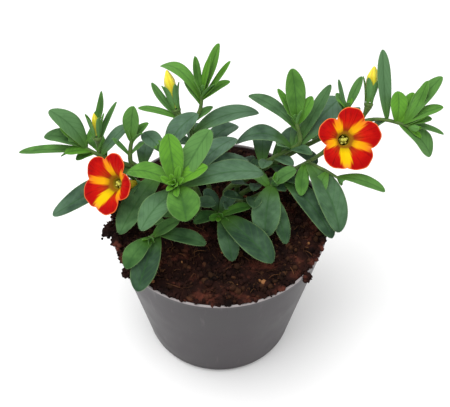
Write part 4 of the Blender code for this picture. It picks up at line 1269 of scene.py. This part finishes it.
def add_flower(parts, foot, ahead, form):
    """Adds one corolla: its face from foot to edge, then its back from edge to foot.

    The back follows the face at the petal's thickness: outside it along the tube, and under
    it beyond the throat.
    """
    share = np.concatenate((np.linspace(-1, 0, TUBE_RINGS, endpoint=False),
                            np.linspace(0, 1, FACE_RINGS)))[:, None]
    share, angle = np.broadcast_arrays(share, circle(FLOWER_SEGMENTS))
    face = funnel(share, angle, form)
    outwards = around(np.ones_like(angle), angle, 0.0)
    beside = np.clip(1 - (share + 0.15) / 0.3, 0, 1)[..., None]
    back = face + PETAL * (outwards * beside - np.array([0.0, 0.0, 1.0]) * (1 - beside))
    back[0, :, 2] -= 0.35
    back[-1] -= 0.08 * outwards[-1]
    points, quads, caps = closed_rings(stood(np.concatenate((face, back[::-1])), foot, ahead))
    shares, angles = (np.concatenate((grid, grid[::-1])) for grid in (share, angle))
    values = {"spread": shares, "ray": ray_strength(shares, angles, form[0]),
              "back": np.repeat([0.0, 1.0], len(share))[:, None] + 0 * angles,
              "front": near_front(angles), "east": np.cos(angles), "north": np.sin(angles)}
    parts.add(points, quads[:, ::-1], [cap[::-1] for cap in caps],
              **{name: with_poles(value) for name, value in values.items()})


for side, (foot, ahead) in FLOWERS.items():
    flower = Parts("spread", "ray", "back", "front", "east", "north")
    add_flower(flower, foot, ahead, FLOWER_FORMS[side])
    flower.build(f"flower_{side}", petal_material, f"bloom_{side}", "petal")
    print("flower", side, flower.count, "points")

# %% [markdown]
# ## The eye of each flower
#
# Deep in the throat stand the style with its green two-lobed stigma, and five pale anthers
# on threads. They're small, but they catch the light and give the throat its depth.

# %% Stigma and anthers
ANTHERS = 5
STYLE_FOOT = 0.66
STIGMA_HALF = 0.62


def eye_finish():
    """Greenish yellow, with a grain like pollen."""
    recipe = Recipe("pollen_yellow", 0.6, Specular_IOR_Level=0.3, Subsurface_Weight=0.05)
    dust = recipe.noise(2600.0, 3.0)
    [pale] = recipe.attributes("pale")
    green = recipe.ramp(dust, (0.35, srgb(150, 150, 40)), (0.7, srgb(196, 196, 70)))
    cream = recipe.ramp(dust, (0.35, srgb(186, 176, 66)), (0.7, srgb(220, 210, 110)))
    return recipe.finish(recipe.mix(pale, green, cream), dust, 0.5, 0.0002)


def add_eye(parts, foot, ahead):
    """Style, stigma and anthers of one flower, in the flower's own axes."""
    def ball(centre, radii, pale):
        """A smooth ball with its own radius on each axis: (cos r cos t, cos r sin t, sin r)."""
        rise = np.linspace(-1, 1, 9)[1:-1, None] * 0.5 * math.pi
        rings = around(np.cos(rise), circle(14), np.sin(rise)) * radii + centre
        parts.add(*closed_rings(stood(rings, foot, ahead)), pale=pale)

    def thread(path, radii, sides, pale):
        """A thin tube along a path."""
        points, quads, caps = tube(path, radii, sides)
        parts.add(stood(points, foot, ahead), quads, caps, pale=pale)

    thread([(0, 0, STYLE_FOOT), (0.05, 0, 4.0), (0.1, 0, 8.0), (0.05, 0, TUBE_LENGTH - 2.2)],
           [0.45, 0.4, 0.36, 0.4], 10, 0.0)
    ball((0, 0, TUBE_LENGTH - 4.2), (1.9, 1.9, 1.6), 0.15)
    for shift in (-STIGMA_HALF, STIGMA_HALF):
        ball((shift, 0.1, TUBE_LENGTH - 1.2), (0.95, 0.8, 0.75), 0.4)
    for index in range(ANTHERS):
        angle = math.tau * index / ANTHERS + 0.4
        reach = 1.6 + 0.25 * math.sin(3 * index)
        x, y = reach * math.cos(angle), reach * math.sin(angle)
        top = (x, y, TUBE_LENGTH - 2.4 + 0.5 * math.cos(2 * index))
        thread([(0.5 * x, 0.5 * y, 3.0), (0.8 * x, 0.8 * y, 8.0), top], [0.14, 0.13, 0.12], 6, 0.4)
        ball(top, (0.6, 0.55, 0.7), 1.0)


eye_material = eye_finish()
for side, (foot, ahead) in FLOWERS.items():
    middle = Parts("pale")
    add_eye(middle, foot, ahead)
    middle.build(f"pollen_{side}", eye_material, f"eye_{side}", "eye")
print("eyes done")

# %% [markdown]
# ## Closed buds
#
# A bud is the same flower before it opens, folded along five pleats and twisted to a point.
# A turned spindle gets there when its radius also swings five times round the axis, with the
# phase of that swing turning slowly from foot to tip.

# %% Buds
BUD_ROWS, BUD_SEGMENTS = 40, 60
BUD_PLEAT = 0.13
BUD_TWIST = 0.9
CLOSING = 0.72


def bud_finish():
    """Soft yellow, greener at the foot and warmer along the pleats."""
    recipe = Recipe("yellow_bud", 0.5, Specular_IOR_Level=0.3, Sheen_Weight=0.25,
                    Subsurface_Weight=0.08)
    along, pleat = recipe.attributes("along", "pleat")
    fine = recipe.noise(900.0, 3.0)
    skin = recipe.ramp(along, (0.1, srgb(176, 190, 60)), (0.45, srgb(204, 194, 34)),
                       (1.0, srgb(220, 206, 48)))
    folded = recipe.mix(recipe.times(recipe.steps(pleat, 0.1, 0.9), 0.7), skin, srgb(206, 176, 10))
    return recipe.finish(folded, fine, 0.3, 0.0002)


def add_bud(parts, foot, tip, radius):
    """A pleated spindle: radius(u) times 1 + 0.13 u cos(5 (angle + 0.9 u)), closed at both ends.

    The radius follows a slow swell, and beyond u = 0.72 a square root closes it to a tip.
    """
    length = float(np.linalg.norm(np.asarray(tip, float) - np.asarray(foot, float)))
    u, angle = np.linspace(0.0, 1.0, BUD_ROWS)[:, None], circle(BUD_SEGMENTS)
    waist = 0.5 + 0.5 * np.sin(math.pi * (0.08 + 0.84 * u) ** 1.25) ** 1.2
    closing = np.sqrt(np.clip((1 - u) / (1 - CLOSING), 0, 1))
    fold = np.cos(LOBES * (angle + BUD_TWIST * u))
    reach = radius * waist * (0.02 + 0.98 * closing) * (1 + BUD_PLEAT * fold * u)
    points, quads, caps = closed_rings(stood(around(reach, angle, length * u), foot, tip))
    parts.add(points, quads, caps, along=with_poles(u + 0 * angle),
              pleat=np.concatenate((-fold.ravel(), [0.0, 0.0])))


bud_material = bud_finish()
for side, (foot, tip, radius) in BUDS.items():
    bud = Parts("along", "pleat")
    add_bud(bud, foot, tip, radius)
    bud.build(f"closed_bud_{side}", bud_material, f"bud_{side}", "bud")
print("buds done")

# %% [markdown]
# ## Table and light
#
# The photograph is a studio shot on white with almost no shadow, so the light must come
# from everywhere: a bright even sky, a large soft lamp above and to the left, and a weak
# one from the front. The table is a wide pale sheet under the pot. Everything in this cell
# is in metres.

# %% Light the set
TABLE_HALF = 3.0
SKY_STRENGTH = 0.9
LAMP_AIM = (0.0, 0.0, 0.09)
# Name, place, side of the square and power in watts
LAMPS = (("high_left", (-0.22, -0.05, 0.85), 0.75, 5.5),
         ("front", (0.25, -0.75, 0.55), 0.6, 1.0))


def table_finish():
    """Very pale matt card with a trace of grain."""
    recipe = Recipe("pale_card", 0.9, Specular_IOR_Level=0.1)
    cloud = recipe.noise(4.0, 3.0)
    return recipe.finish(recipe.ramp(cloud, (0.3, (0.90,) * 3), (0.7, (0.93,) * 3)))


card = bpy.data.meshes.new("table")
card.from_pydata([(-TABLE_HALF, -TABLE_HALF, 0), (TABLE_HALF, -TABLE_HALF, 0),
                  (TABLE_HALF, TABLE_HALF, 0), (-TABLE_HALF, TABLE_HALF, 0)], [], [(0, 1, 2, 3)])
card.materials.append(table_finish())
table = bpy.data.objects.new("table", card)
bpy.context.scene.collection.objects.link(table)
table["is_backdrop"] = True

world = bpy.data.worlds.new("even_sky")
world.use_nodes = True
sky = world.node_tree.nodes["Background"]
sky.inputs["Color"].default_value = (1.0, 1.0, 1.0, 1.0)
sky.inputs["Strength"].default_value = SKY_STRENGTH
bpy.context.scene.world = world

for name, place, size, power in LAMPS:
    light = bpy.data.lights.new(name, "AREA")
    light.size, light.energy = size, power
    lamp = bpy.data.objects.new(name, light)
    lamp.location = place
    lamp.rotation_euler = look_at(place, LAMP_AIM)
    bpy.context.scene.collection.objects.link(lamp)
bpy.context.scene.view_settings.view_transform = "Standard"
print("lamps:", len(bpy.data.lights))

# %% [markdown]
# ## Measure and finish
#
# The dressed plant is held within the box of the imported model. Both boxes are printed, so
# that the difference can be read off.

# %% Write the sizes
sizes = {"cad": [list(corner) for corner in CAD_BOX],
         "scene": [list(corner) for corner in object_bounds()]}
print(sizes)
